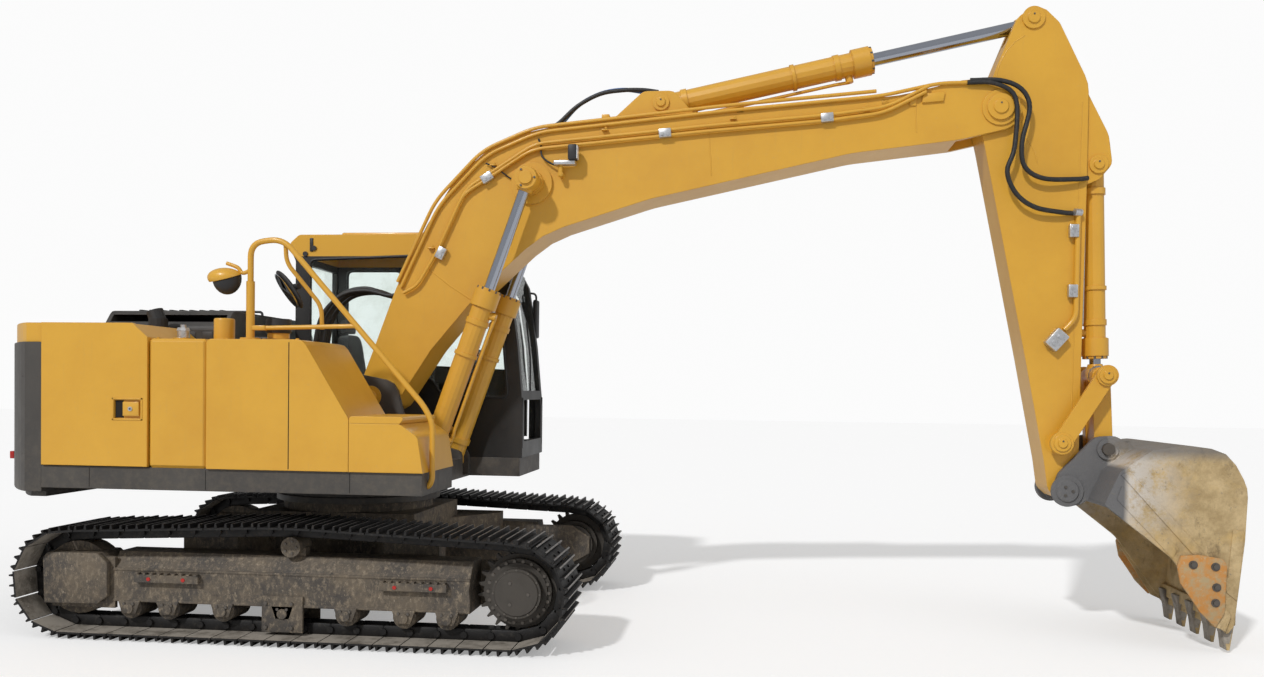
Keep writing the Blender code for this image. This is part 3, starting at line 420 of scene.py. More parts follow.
M = {
    "yellow": yellow_paint(), "charcoal": charcoal_paint(), "cab": cab_paint(), "mud": muddy_steel(),
    "shoe": shoe_steel(), "edge": worn_edge(), "dusty": dusty_steel(), "bucket": bucket_steel(),
    "cutter": rusty_cutter(), "chrome": chrome(), "zinc": zinc(), "rubber": rubber(),
    "plastic": plastic(), "cloth": cloth(), "glass": window_glass(),
    "hood": charcoal_paint("dark_hood", (0.022, 0.021, 0.021)),
    "iron": plain("engine_iron", (0.11, 0.11, 0.11), 0.6, 0.4),
    "hub": plain("drive_paint", (0.060, 0.052, 0.043), 0.7, 0.0, 0.5, 12),
    "core": plain("radiator_core", (0.03, 0.03, 0.03), 0.7, 0.3),
    "lens": plain("lamp_lens", (0.75, 0.77, 0.78), 0.12, 0.0, 0.1),
    "mirror": plain("mirror_face", (0.6, 0.63, 0.66), 0.05, 1.0, 0.05),
    "red": plain("red_reflector", (0.45, 0.02, 0.015), 0.25),
    "seam": plain("seam_shadow", (0.012, 0.010, 0.008), 0.9),
    "screen": plain("monitor_screen", (0.03, 0.05, 0.06), 0.12, 0.0, 0.1),
    "bolt": plain("bolt_head", (0.14, 0.125, 0.11), 0.5, 0.6),
    "blue": plain("hose_stripe", (0.06, 0.16, 0.42), 0.5),
}


def finish_frame():
    """Give every CAD node its material."""
    rules = (
        ("track_frame", "mud"), ("track_", "shoe"), ("carbody", "mud"), ("sprocket", "hub"),
        ("idler", "mud"),
        ("swing_bearing", "charcoal"), ("cab_glass", "glass"), ("door_glass", "glass"), ("cab_", "cab"),
        ("boom_cylinder_rod", "chrome"), ("stick_cylinder_rod", "chrome"), ("bucket_cylinder_rod", "chrome"),
        ("bucket_cylinder", "yellow"), ("bucket", "bucket"), ("counterweight_cap", "yellow"),
        ("counterweight", "charcoal"), ("main_frame", "charcoal"), ("engine_bay", "charcoal"),
        ("engine_hood", "hood"), ("engine", "iron"), ("radiator_door", "yellow"), ("radiator", "core"),
        ("exhaust", "plastic"), ("seat_base", "plastic"), ("driver_seat", "cloth"), ("mirror", "plastic"),
    )
    for name, ob in frame["nodes"].items():
        key = next((k for start, k in rules if name.startswith(start)), "yellow")
        ob.data.materials.clear()
        ob.data.materials.append(M[key])


# ------------------------------------------------------------------ making pieces
def add_box(bm, lo, hi, bevel=0.0, mat=0):
    """A box between two corners in the frame, with bevelled edges."""
    made = bmesh.ops.create_cube(bm, size=1.0)["verts"]
    lo, hi = Vector(lo), Vector(hi)
    bmesh.ops.scale(bm, vec=hi - lo, verts=made)
    bmesh.ops.translate(bm, vec=(lo + hi) / 2, verts=made)
    faces = {f for v in made for f in v.link_faces}
    for f in faces:
        f.material_index = mat
    if bevel:
        edges = list({e for v in made for e in v.link_edges})
        made = bmesh.ops.bevel(bm, geom=edges, offset=bevel, segments=2, profile=0.5, affect="EDGES",
                               material=-1)["verts"]
    return made


def add_rod(bm, p0, p1, r0, r1=None, sides=20, mat=0):
    """A round bar or cone from p0 to p1."""
    p0, p1 = Vector(p0), Vector(p1)
    way = p1 - p0
    turn = Vector((0, 0, 1)).rotation_difference(way).to_matrix().to_4x4()
    made = bmesh.ops.create_cone(bm, cap_ends=True, segments=sides, radius1=r0,
                                 radius2=r0 if r1 is None else r1, depth=way.length,
                                 matrix=Matrix.Translation((p0 + p1) / 2) @ turn)["verts"]
    for f in {f for v in made for f in v.link_faces}:
        f.material_index = mat
    return made


def add_disc(bm, pin, y0, y1, r, sides=24, mat=0, r1=None):
    """A round bar along Y through a pin written from the swing axis."""
    return add_rod(bm, at(pin[0], y0, pin[1]), at(pin[0], y1, pin[1]), r, r1, sides, mat)


def add_slab(bm, points, y0, y1, mat=0, bevel=0.0):
    """A flat plate in X and Z between y0 and y1, its outline written from the swing axis."""
    made = [bm.verts.new(at(x, y0, z)) for x, z in points]
    face = bm.faces.new(made)
    face.material_index = mat
    out = bmesh.ops.extrude_face_region(bm, geom=[face])["geom"]
    top = [v for v in out if isinstance(v, bmesh.types.BMVert)]
    bmesh.ops.translate(bm, vec=(0, y1 - y0, 0), verts=top)
    faces = list({f for v in made + top for f in v.link_faces})
    for f in faces:
        f.material_index = mat
    bmesh.ops.recalc_face_normals(bm, faces=faces)
    if bevel:
        edges = list({e for v in made + top for e in v.link_edges})
        bmesh.ops.bevel(bm, geom=edges, offset=bevel, segments=2, profile=0.5, affect="EDGES", material=-1)


def piece(bm, name, body, *keys, angle=35):
    """Name a finished mesh, give it its materials and let it ride on a body."""
    mesh = bpy.data.meshes.new(name)
    bm.to_mesh(mesh)
    bm.free()
    for key in keys:
        mesh.materials.append(M[key])
    mesh.shade_smooth()
    mesh.set_sharp_from_angle(angle=math.radians(angle))
    ob = bpy.data.objects.new(name, mesh)
    bpy.context.scene.collection.objects.link(ob)
    if body:
        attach(ob, body)
    return ob


def rounded(points, radius, steps=5):
    """A path with its inner corners rounded."""
    points = [Vector(p) for p in points]
    out = [points[0]]
    for a, p, b in zip(points, points[1:], points[2:]):
        reach = min(radius, (a - p).length * 0.48, (b - p).length * 0.48)
        s, e = p + (a - p).normalized() * reach, p + (b - p).normalized() * reach
        for k in range(steps + 1):
            w = k / steps
            out.append(s * (1 - w) ** 2 + p * 2 * w * (1 - w) + e * w * w)
    return out + [points[-1]]


def smooth_path(points, steps=6):
    """A smooth curve through the points."""
    pts = [Vector(p) for p in points]
    ends = [pts[0] * 2 - pts[1]] + pts + [pts[-1] * 2 - pts[-2]]
    out = []
    for a, b, c, d in zip(ends, ends[1:], ends[2:], ends[3:]):
        for k in range(steps):
            t = k / steps
            out.append(0.5 * (2 * b + (c - a) * t + (2 * a - 5 * b + 4 * c - d) * t * t
                              + (3 * b - a - 3 * c + d) * t ** 3))
    return out + [pts[-1]]


def tube_curve(paths, radius, resolution=3, closed=False):
    data = bpy.data.curves.new("tube", "CURVE")
    data.dimensions = "3D"
    data.bevel_depth = radius
    data.bevel_resolution = resolution
    data.use_fill_caps = True
    for path in paths:
        spline = data.splines.new("POLY")
        spline.points.add(len(path) - 1)
        for point, co in zip(spline.points, path):
            point.co = (*co, 1)
        spline.use_cyclic_u = closed
    return data


def tubes(name, body, key, paths, radius, resolution=3, closed=False):
    """Round tubes along paths, as one mesh piece."""
    data = tube_curve(paths, radius, resolution, closed)
    curve = bpy.data.objects.new("tube", data)
    bpy.context.scene.collection.objects.link(curve)
    bpy.context.view_layer.update()
    mesh = bpy.data.meshes.new_from_object(curve.evaluated_get(bpy.context.evaluated_depsgraph_get()))
    bpy.data.objects.remove(curve, do_unlink=True)
    bm = bmesh.new()
    bm.from_mesh(mesh)
    bmesh.ops.remove_doubles(bm, verts=bm.verts, dist=1e-5)
    bmesh.ops.recalc_face_normals(bm, faces=bm.faces)
    return piece(bm, name, body, key, angle=50)


def ring_of_bolts(bm, pin, y, out, radius, count, size=0.012, tall=0.010, mat=0, start=0.0):
    """Hexagon heads on a circle about a pin, standing out along Y by sign out."""
    for k in range(count):
        a = start + 2 * math.pi * k / count
        place = (pin[0] + radius * math.cos(a), pin[1] + radius * math.sin(a))
        add_disc(bm, place, y, y + out * tall, size, 6, mat)


# ------------------------------------------------------------------ undercarriage
SHOES, SHOE_R, TRACK_RISE = 45, 0.350, 0.065


def track_path():
    """The closed line that the shoes' inner faces follow, as (x, z) from the swing axis."""
    top = WHEEL_Z + SHOE_R + TRACK_RISE
    lean = math.atan2(TRACK_RISE, WHEEL_X)
    points = []
    for k in range(25):
        a = -math.pi / 2 + (math.pi - lean) * k / 24
        points.append((WHEEL_X + SHOE_R * math.cos(a), WHEEL_Z + SHOE_R * math.sin(a)))
    points += [(0.12, top - 0.004), (-0.12, top - 0.004)]
    for k in range(25):
        a = math.pi / 2 + lean + (math.pi - lean) * k / 24
        points.append((-WHEEL_X + SHOE_R * math.cos(a), WHEEL_Z + SHOE_R * math.sin(a)))
    return [Vector(p) for p in points]


def along(path, way):
    """The point and direction on a closed path after a way along it."""
    for a, b in zip(path, path[1:] + path[:1]):
        step = (b - a).length
        if way <= step:
            t = (b - a) / step
            return a + t * way, t
        way -= step
    return path[0], (path[1] - path[0]).normalized()


def one_shoe(pitch):
    """A three-bar shoe with its two links, X along the track, Z outwards, its face at Z 0."""
    bm = bmesh.new()
    half = SHOE_W / 2
    add_box(bm, (-pitch * 0.49, -half, 0.004), (pitch * 0.47, half, 0.018), mat=0)
    for f in bm.faces:
        if f.normal.z < -0.5:
            f.material_index = 2
    for x, tall in ((-0.36, 0.047), (0.02, 0.051), (0.40, 0.044)):
        bar = add_box(bm, (pitch * x - 0.010, -half, 0.016), (pitch * x + 0.010, half, tall))
        for v in bar:
            if v.co.z > 0.04:
                v.co.x += (pitch * x - v.co.x) * 0.45
        for f in {f for v in bar for f in v.link_faces}:
            if f.calc_center_median().z > tall - 0.002:
                f.material_index = 1
    for side in (-1, 1):
        y = side * 0.058
        add_box(bm, (-pitch * 0.52, y - 0.016, -0.078), (pitch * 0.50, y + 0.016, 0.005), 0.012)
        add_rod(bm, (pitch * 0.5, y - side * 0.02, -0.036), (pitch * 0.5, y + side * 0.034, -0.036), 0.024,
                sides=10)
        for x in (-0.22, 0.20):
            add_rod(bm, (pitch * x, y, -0.006), (pitch * x, y, -0.018), 0.013, sides=6)
            add_rod(bm, (pitch * x, y * 1.35, 0.016), (pitch * x, y * 1.35, 0.027), 0.011, sides=6)
    mesh = bpy.data.meshes.new("shoe")
    bm.to_mesh(mesh)
    bm.free()
    return mesh


def make_tracks():
    """Shoes laid round each track's loop."""
    path = track_path()
    total = sum((b - a).length for a, b in zip(path, path[1:] + path[:1]))
    pitch = total / SHOES
    shoe = one_shoe(pitch)
    for side, s in SIDES.items():
        bm = bmesh.new()
        for k in range(SHOES):
            a, _ = along(path, (k * pitch) % total)
            b, _ = along(path, ((k + 1) * pitch) % total)
            t = (b - a).normalized()
            mid = (a + b) / 2
            start = len(bm.verts)
            bm.from_mesh(shoe)
            bm.verts.ensure_lookup_table()
            turn = Matrix(((t.x, 0, t.y), (0, 1, 0), (t.y, 0, -t.x))).to_4x4()
            move = Matrix.Translation(at(mid.x, s * TRACK_Y, mid.y)) @ turn
            bmesh.ops.transform(bm, matrix=move, verts=bm.verts[start:])
        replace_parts(piece(bm, "track_shoes_" + side, "undercarriage", "shoe", "edge", "dusty"),
                    "track_" + side)
    bpy.data.meshes.remove(shoe)


def make_drive(side, s):
    """Sprocket teeth and the bolted cover of the final drive."""
    pin, y = (WHEEL_X, WHEEL_Z), s * TRACK_Y
    bm = bmesh.new()
    for k in range(23):
        a = 2 * math.pi * k / 23
        tooth = add_box(bm, (0.245, -0.024, -0.020), (0.304, 0.024, 0.020))
        for v in tooth:
            if v.co.x > 0.3:
                v.co.z *= 0.35
        place = Matrix.Translation(at(pin[0], y, pin[1])) @ Matrix.Rotation(a, 4, "Y")
        bmesh.ops.transform(bm, matrix=place, verts=tooth)
    face = y + s * 0.165
    add_disc(bm, pin, y + s * 0.03, y + s * 0.085, 0.232, 40)
    ring_of_bolts(bm, pin, y + s * 0.085, s, 0.214, 22, 0.013, 0.012, 1)
    add_disc(bm, pin, face - s * 0.002, face + s * 0.010, 0.158, 40, r1=0.150)
    ring_of_bolts(bm, pin, face - s * 0.001, s, 0.163, 12, 0.008, 0.006, 1)
    ring_of_bolts(bm, pin, face + s * 0.009, s, 0.085, 3, 0.012, 0.006, 1)
    piece(bm, "drive_cover_" + side, "undercarriage", "hub", "bolt")


def make_frame_fittings(side, s):
    """Idler yoke, roller brackets, guide guard bolts, step treads and the grease cover."""
    y = s * TRACK_Y
    out = y + s * 0.14
    bm = bmesh.new()
    yoke = [(-1.83, 0.23), (-1.84, 0.56), (-1.80, 0.60), (-1.42, 0.60), (-1.345, 0.53), (-1.345, 0.29),
            (-1.42, 0.235)]
    add_slab(bm, yoke, out + s * 0.002, out + s * 0.052, bevel=0.008)
    add_slab(bm, yoke[1:5] + [(-1.40, 0.555), (-1.80, 0.555)], y - s * 0.10, out + s * 0.004, bevel=0.006)
    add_box(bm, at(-1.335, min(out - 0.005, out + 0.012), 0.472),
            at(1.30, max(out - 0.005, out + 0.012), 0.492), 0.004)
    add_box(bm, at(-1.335, min(out - 0.005, out + 0.016), 0.250),
            at(1.30, max(out - 0.005, out + 0.016), 0.272), 0.004)
    for x in (-1.20, -0.91, -0.50, -0.05, 0.41, 0.83, 1.14):
        low, high = sorted((y + s * 0.136, y + s * 0.158))
        add_slab(bm, [(x - 0.085, 0.262), (x + 0.085, 0.262), (x + 0.052, 0.165), (x - 0.052, 0.165)],
                 low, high, bevel=0.005)
        add_disc(bm, (x, 0.205), y + s * 0.150, y + s * 0.168, 0.036, 16)
        for dx in (-0.034, 0.034):
            add_disc(bm, (x + dx, 0.238), y + s * 0.155, y + s * 0.168, 0.011, 6, 1)
        add_disc(bm, (x, 0.2105), y - s * 0.12, y + s * 0.13, 0.082, 22)
    for dx in (-0.12, 0.07):
        for z in (0.11, 0.28):
            add_disc(bm, (-0.05 + dx, z), y + s * 0.155, y + s * 0.170, 0.014, 6, 1)
    add_disc(bm, (-0.01, 0.6715), y - s * 0.07, y + s * 0.118, 0.072, 24)
    ring_of_bolts(bm, (-0.01, 0.6715), y + s * 0.118, s, 0.044, 5, 0.009, 0.008, 1)
    for middle in (-0.905, 0.905):
        for k in range(9):
            x = middle - 0.22 + k * 0.055
            low, high = sorted((out + s * 0.004, out + s * 0.047))
            add_box(bm, at(x - 0.011, low, 0.452), at(x + 0.011, high, 0.466), 0.003)
        for x in (middle - 0.13, middle + 0.13):
            add_disc(bm, (x, 0.425), out + s * 0.044, out + s * 0.050, 0.014, 12, 2)
    piece(bm, "frame_fittings_" + side, "undercarriage", "mud", "bolt", "red")


def make_bearing():
    """Slewing ring with its bolts, and cover plates on the centre section."""
    bm = bmesh.new()
    add_rod(bm, at(0, 0, 0.955), at(0, 0, 1.0), 0.625, sides=64)
    for k in range(36):
        a = 2 * math.pi * k / 36
        spot = at(0.592 * math.cos(a), 0.592 * math.sin(a), 1.0)
        add_rod(bm, spot, spot + Vector((0, 0, 0.018)), 0.014, sides=6, mat=1)
    add_rod(bm, at(0, 0, 0.91), at(0, 0, 0.957), 0.655, sides=64)
    piece(bm, "slewing_ring", "undercarriage", "charcoal", "bolt")


# ------------------------------------------------------------------ upper structure
def make_side_panels():
    """Seams, door latch, hinge strips and the skirt's joints; a near-black plate in the latch recess is
    painted shade.
    """
    y = -HALF_W
    bm = bmesh.new()
    add_box(bm, at(-0.003, y - 0.0012, DECK_TOP + 0.01), at(0.003, y + 0.004, TANK_TOP - 0.02), mat=0)
    for x in (-1.50, -0.62, 0.44):
        add_box(bm, at(x - 0.002, y + 0.0188, 1.07), at(x + 0.002, y + 0.024, 1.21), mat=0)
    piece(bm, "panel_seams", "upper_structure", "seam")

    bm = bmesh.new()
    x0, x1, z0, z1 = -1.315, -1.085, 1.555, 1.715
    for lo, hi in (((x0, z0), (x1, z0 + 0.012)), ((x0, z1 - 0.012), (x1, z1)),
                   ((x0, z0), (x0 + 0.012, z1)), ((x1 - 0.012, z0), (x1, z1))):
        add_box(bm, at(lo[0], y - 0.004, lo[1]), at(hi[0], y + 0.003, hi[1]), 0.002)
    add_box(bm, at(-1.235, y - 0.003, 1.585), at(-1.112, y + 0.017, 1.688), 0.006)
    add_disc(bm, (-1.175, 1.637), y - 0.003, y - 0.009, 0.016, 20, 1)
    add_disc(bm, (-1.175, 1.637), y - 0.009, y - 0.011, 0.006, 12, 2)
    # near-black plate on the floor of the latch recess, beside the latch: painted shade
    add_box(bm, at(-1.296, y + 0.0135, 1.574), at(-1.236, y + 0.0175, 1.696), mat=2)
    piece(bm, "pump_door_latch", "pump_door", "yellow", "zinc", "seam")

    for name, body, x0, x1 in (("radiator_door_louvres", "radiator_side_door", -1.80, -1.40),
                               ("filter_door_louvres", "filter_side_door", -1.28, -0.90)):
        bm = bmesh.new()
        add_box(bm, at(x0, HALF_W + 0.0005, 1.36), at(x1, HALF_W + 0.003, 2.04), mat=1)
        for k in range(13):
            z = 1.38 + k * 0.05
            slat = add_box(bm, at(x0 + 0.01, HALF_W + 0.001, z), at(x1 - 0.01, HALF_W + 0.016, z + 0.030),
                           0.003)
            for v in slat:
                if v.co.y > HALF_W + 0.01:
                    v.co.z -= 0.012
        add_box(bm, at(x1 - 0.10, HALF_W + 0.001, 1.25), at(x1 - 0.02, HALF_W + 0.012, 1.33), 0.004, mat=2)
        piece(bm, name, body, "yellow", "seam", "plastic")


def make_hood():
    """Ribs, grab bar and grille of the dark engine hood."""
    bm = bmesh.new()
    low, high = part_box("engine_hood")
    for k in range(9):
        x = low.x + 0.16 + k * 0.085
        add_box(bm, (x, -0.42, high.z - 0.004), (x + 0.030, 0.30, high.z + 0.016), 0.006)
    for k in range(6):
        x = low.x + 0.12 + k * 0.14
        add_box(bm, (x, low.y - 0.004, low.z + 0.03), (x + 0.09, low.y + 0.01, low.z + 0.10), 0.006)
    add_box(bm, (low.x + 0.02, high.y - 0.12, high.z - 0.075), (high.x - 0.02, high.y - 0.05, high.z - 0.05),
            0.006)
    piece(bm, "hood_ribs", "hood", "hood")
    grab = rounded([(low.x + 0.20, 0.52, high.z), (low.x + 0.20, 0.52, high.z + 0.07),
                    (low.x + 0.75, 0.52, high.z + 0.07), (low.x + 0.75, 0.52, high.z)], 0.03)
    tubes("hood_grab_bar", "hood", "plastic", [grab], 0.011)


def make_tank_fittings():
    """Filler, breather and fuel cap on the tanks, with their mounting plates."""
    z = TANK_TOP
    bm = bmesh.new()
    add_rod(bm, at(-0.99, -1.0, z - 0.004), at(-0.99, -1.0, z + 0.020), 0.075, sides=28, mat=1)
    add_rod(bm, at(-0.99, -1.0, z + 0.020), at(-0.99, -1.0, z + 0.075), 0.045, sides=28)
    add_rod(bm, at(-0.99, -1.0, z + 0.075), at(-0.99, -1.0, z + 0.098), 0.050, 0.042, sides=8)
    add_rod(bm, at(-0.99, -1.0, z + 0.098), at(-0.99, -1.0, z + 0.120), 0.022, sides=16)
    piece(bm, "oil_filler", "upper_structure", "zinc", "yellow")
    bm = bmesh.new()
    add_rod(bm, at(-0.67, -1.0, z - 0.004), at(-0.67, -1.0, z + 0.012), 0.10, sides=28)
    drum = add_rod(bm, at(-0.67, -1.0, z + 0.012), at(-0.67, -1.0, z + 0.168), 0.074, sides=36)
    rim = [e for v in drum for e in v.link_edges if all(w.co.z > z + 0.16 for w in e.verts)]
    bmesh.ops.bevel(bm, geom=list(set(rim)), offset=0.012, segments=3, profile=0.5, affect="EDGES",
                    material=-1)
    for x in (-1.02, -0.82, -0.50, -0.30, 0.02):
        add_rod(bm, at(x, -1.28, z - 0.003), at(x, -1.28, z + 0.012), 0.012, sides=6)
    piece(bm, "tank_breather", "upper_structure", "yellow")
    bm = bmesh.new()
    add_rod(bm, at(-0.25, -1.0, z - 0.004), at(-0.25, -1.0, z + 0.018), 0.115, sides=32, mat=1)
    add_rod(bm, at(-0.25, -1.0, z + 0.018), at(-0.25, -1.0, z + 0.060), 0.078, sides=32, mat=1)
    add_rod(bm, at(-0.25, -1.0, z + 0.060), at(-0.25, -1.0, z + 0.078), 0.088, 0.094, sides=32)
    add_rod(bm, at(-0.25, -1.0, z + 0.078), at(-0.25, -1.0, z + 0.165), 0.098, 0.092, sides=14)
    piece(bm, "fuel_cap", "upper_structure", "plastic", "yellow")
    bm = bmesh.new()
    add_box(bm, at(-0.50, -0.98, z - 0.002), at(-0.30, -0.72, z + 0.035), 0.01)
    piece(bm, "tank_bracket", "upper_structure", "plastic")


def make_handrail():
    """Bent tube rail with its lower bar, clamps and the foot plates."""
    y = -1.22
    z = TANK_TOP
    main = rounded([at(-0.36, y, z + 0.001), at(-0.36, y, 2.835), at(-0.12, y, 2.865), at(0.93, y, 1.68),
                    at(0.99, y, 1.56), at(0.99, y, 1.165), at(0.965, y, 1.115), at(0.90, y, 1.112)], 0.10, 7)
    bar = rounded([at(-0.34, y, 2.225), at(0.42, y, 2.245)], 0.02)
    inner = rounded([at(-0.11, y + 0.02, 2.845), at(-0.115, y + 0.05, 2.70), at(0.10, y + 0.16, 2.40),
                     at(0.10, y + 0.18, 2.23)], 0.06, 6)
    rail = tubes("handrail_tubes", "upper_structure", "yellow", [main], 0.021, 4)
    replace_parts(rail, "handrail_right")
    tubes("handrail_lower_bar", "upper_structure", "yellow", [bar, inner], 0.016, 4)
    bm = bmesh.new()
    add_rod(bm, at(-0.36, y, z), at(-0.36, y, z + 0.42), 0.030, sides=20)
    add_rod(bm, at(-0.36, y, z - 0.002), at(-0.36, y, z + 0.016), 0.070, sides=24)
    add_box(bm, at(-0.34, y - 0.022, z + 0.07), at(-0.24, y + 0.022, z + 0.105), 0.006)
    add_box(bm, at(0.85, y - 0.05, 1.08), at(0.93, y + 0.05, 1.16), 0.01)
    for z1 in (1.10, 1.14):
        add_disc(bm, (0.89, z1), y - 0.05, y - 0.062, 0.011, 6)
    piece(bm, "handrail_feet", "upper_structure", "yellow")


def shell_of(bm, centre, radii, cut_axis, keep):
    """Half of a squashed ball: what lies on the kept side of its middle."""
    made = bmesh.ops.create_uvsphere(bm, u_segments=28, v_segments=16, radius=1.0)["verts"]
    bmesh.ops.scale(bm, vec=radii, verts=made)
    bmesh.ops.translate(bm, vec=centre, verts=made)
    edges = {e for v in made for e in v.link_edges}
    faces = {f for v in made for f in v.link_faces}
    geom = made + list(edges) + list(faces)
    out = bmesh.ops.bisect_plane(bm, geom=geom, plane_co=centre, plane_no=Vector(cut_axis) * keep,
                                 clear_inner=True)
    rim = [e for e in out["geom_cut"] if isinstance(e, bmesh.types.BMEdge)]
    bmesh.ops.contextual_create(bm, geom=rim)


def make_mirrors():
    """Round hooded mirror on the rail post, the leaning side mirror, and the cab's own mirror."""
    bm = bmesh.new()
    centre = at(-0.55, -1.22, 2.585)
    shell_of(bm, centre, (0.128, 0.10, 0.072), (0.22, 0.3, -1), -1)
    piece(bm, "round_mirror_hood", "upper_structure", "yellow")
    bm = bmesh.new()
    shell_of(bm, centre + Vector((0.012, 0, -0.002)), (0.102, 0.090, 0.118), (0.22, 0.3, -1), 1)
    piece(bm, "round_mirror", "upper_structure", "plastic")
    arm = smooth_path([at(-0.36, -1.22, 2.64), at(-0.42, -1.22, 2.62), at(-0.46, -1.22, 2.66),
                       at(-0.54, -1.22, 2.69)])
    tubes("round_mirror_arm", "upper_structure", "yellow", [arm], 0.014)

    bm = bmesh.new()
    turn = Matrix.Translation(at(-0.145, -1.05, 2.52)) @ Matrix.Rotation(math.radians(-38), 4, "Y") \
        @ Matrix.Rotation(math.radians(35), 4, "Z")
    for size, mat, place in (((0.028, 0.10, 0.165), 0, 0.0), ((0.006, 0.088, 0.150), 1, -0.026)):
        made = bmesh.ops.create_uvsphere(bm, u_segments=24, v_segments=14, radius=1.0)["verts"]
        for f in {f for v in made for f in v.link_faces}:
            f.material_index = mat
        bmesh.ops.scale(bm, vec=size, verts=made)
        bmesh.ops.translate(bm, vec=(place, 0, 0), verts=made)
        bmesh.ops.transform(bm, matrix=turn, verts=made)
    add_rod(bm, at(-0.05, -1.10, 2.54), at(-0.14, -1.06, 2.53), 0.022, sides=16)
    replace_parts(piece(bm, "side_mirror", "upper_structure", "plastic", "mirror"), "mirror_right")

    bm = bmesh.new()
    add_box(bm, at(1.16, HALF_W - 0.02, 2.30), at(1.20, HALF_W + 0.11, 2.66), 0.014)
    add_box(bm, at(1.156, HALF_W - 0.005, 2.32), at(1.161, HALF_W + 0.095, 2.64), mat=1)
    piece(bm, "cab_mirror", "upper_structure", "plastic", "mirror")
    arm = rounded([at(1.10, HALF_W - 0.03, 2.72), at(1.18, HALF_W + 0.04, 2.72),
                   at(1.18, HALF_W + 0.04, 2.60)], 0.04)
    tubes("cab_mirror_arm", "upper_structure", "plastic", [arm], 0.010)


def make_counterweight_fittings():
    """Crease lines, lifting eyes, reflectors and rear lamps."""
    bm = bmesh.new()
    for s in (-1, 1):
        add_box(bm, at(-2.30, s * 0.72 - 0.04, 2.245), at(-2.12, s * 0.72 + 0.04, 2.262), 0.006)
        add_box(bm, at(-2.738, s * 0.42 - 0.11, 1.20), at(-2.70, s * 0.42 + 0.11, 1.26), 0.005, mat=1)
        add_box(bm, at(-2.748, s * 0.30 - 0.08, 1.92), at(-2.69, s * 0.30 + 0.08, 1.98), 0.006, mat=2)
    add_box(bm, at(-2.7495, -0.16, 1.94), at(-2.72, 0.16, 2.04), 0.01)
    add_box(bm, at(-2.50, -0.05, 2.245), at(-2.42, 0.05, 2.30), 0.01)
    piece(bm, "counterweight_fittings", "upper_structure", "plastic", "red", "lens")
    ridge = [(-2.743, 0.0), (-2.729, 0.28), (-2.697, 0.49), (-2.56, 0.70), (-2.38, 0.94), (-2.21, 1.14),
             (-2.03, 1.33), (-1.90, 1.350)]
    paths = []
    for z in (1.30, 1.86):
        half = [at(x, y, z) for x, y in ridge]
        paths.append([at(x, -y, z) for x, y in reversed(ridge)] + half[1:])
    tubes("counterweight_creases", "upper_structure", "charcoal", paths, 0.007, 2)


# ------------------------------------------------------------------ cab
RIGHT_WINDOW = [(-0.66, 1.90), (-0.66, 2.93), (0.52, 2.97), (0.88, 2.86), (1.02, 2.66), (1.09, 2.20),
                (1.13, 1.74), (0.55, 1.74), (0.45, 1.90)]
LEFT_WINDOW = [(-0.66, 1.95), (-0.66, 2.93), (-0.12, 2.93), (-0.12, 1.95)]
DOOR_WINDOW = [(0.06, 2.02), (0.06, 2.88), (0.51, 2.89), (0.80, 2.80), (0.93, 2.62), (0.995, 2.20),
               (1.02, 1.98)]


def window_gasket(name, body, outline, y):
    """A rubber strip round a window in a side wall."""
    ring = [at(x, y, z) for x, z in outline]
    path = rounded(ring + ring[:2], 0.06, 4)[1:-1]
    tubes(name, body, "rubber", [path], 0.013, 2, closed=True)


def make_cab_outside():
    """Gaskets, roof hatch, vents, wiper and door handle."""
    y0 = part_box("cab_shell")[0][1]
    window_gasket("right_window_gasket", "upper_structure", RIGHT_WINDOW, y0 + 0.002)
    window_gasket("left_window_gasket", "upper_structure", LEFT_WINDOW, HALF_W - 0.004)
    window_gasket("door_window_gasket", "driver_door", DOOR_WINDOW, HALF_W + 0.002)
    bm = bmesh.new()
    add_box(bm, at(-0.42, y0 + 0.12, 3.146), at(0.46, HALF_W - 0.12, 3.186), 0.014)
    add_box(bm, at(-0.30, y0 + 0.22, 3.184), at(0.34, HALF_W - 0.22, 3.200), 0.008)
    add_box(bm, at(-0.80, y0 + 0.03, 3.02), at(-0.70, HALF_W - 0.03, 3.158), 0.03)
    piece(bm, "roof_hatch", "upper_structure", "yellow")
    bm = bmesh.new()
    for k in range(9):
        y = y0 + 0.16 + k * 0.07
        add_box(bm, at(-0.800, y, 1.50), at(-0.786, y + 0.035, 1.90), 0.004)
    add_box(bm, at(-0.805, y0 + 0.10, 1.42), at(-0.786, HALF_W - 0.10, 1.46), 0.005)
    for y in (y0 + 0.012, HALF_W - 0.03):
        add_box(bm, at(1.240, y, 1.30), at(1.262, y + 0.02, 1.74), 0.004)
    piece(bm, "cab_vents", "upper_structure", "plastic")
    bm = bmesh.new()
    for x, z in ((-0.62, 3.03), (-0.70, 2.98)):
        add_disc(bm, (x, z), y0 + 0.002, y0 - 0.012, 0.022, 18)
    add_box(bm, at(-0.66, y0 - 0.010, 3.00), at(-0.63, y0 + 0.002, 3.12), 0.005)
    piece(bm, "cab_side_fittings", "upper_structure", "plastic")
    wiper = [at(1.235, 0.92, 1.80), at(1.225, 0.95, 2.10), at(1.182, 0.98, 2.42)]
    tubes("front_wiper", "upper_structure", "plastic", [smooth_path(wiper)], 0.008, 2)
    bm = bmesh.new()
    add_box(bm, at(0.90, HALF_W + 0.003, 1.93), at(1.05, HALF_W + 0.012, 2.00), 0.004)
    add_box(bm, at(0.92, HALF_W + 0.010, 1.945), at(1.03, HALF_W + 0.028, 1.975), 0.006)
    piece(bm, "door_handle", "driver_door", "plastic")


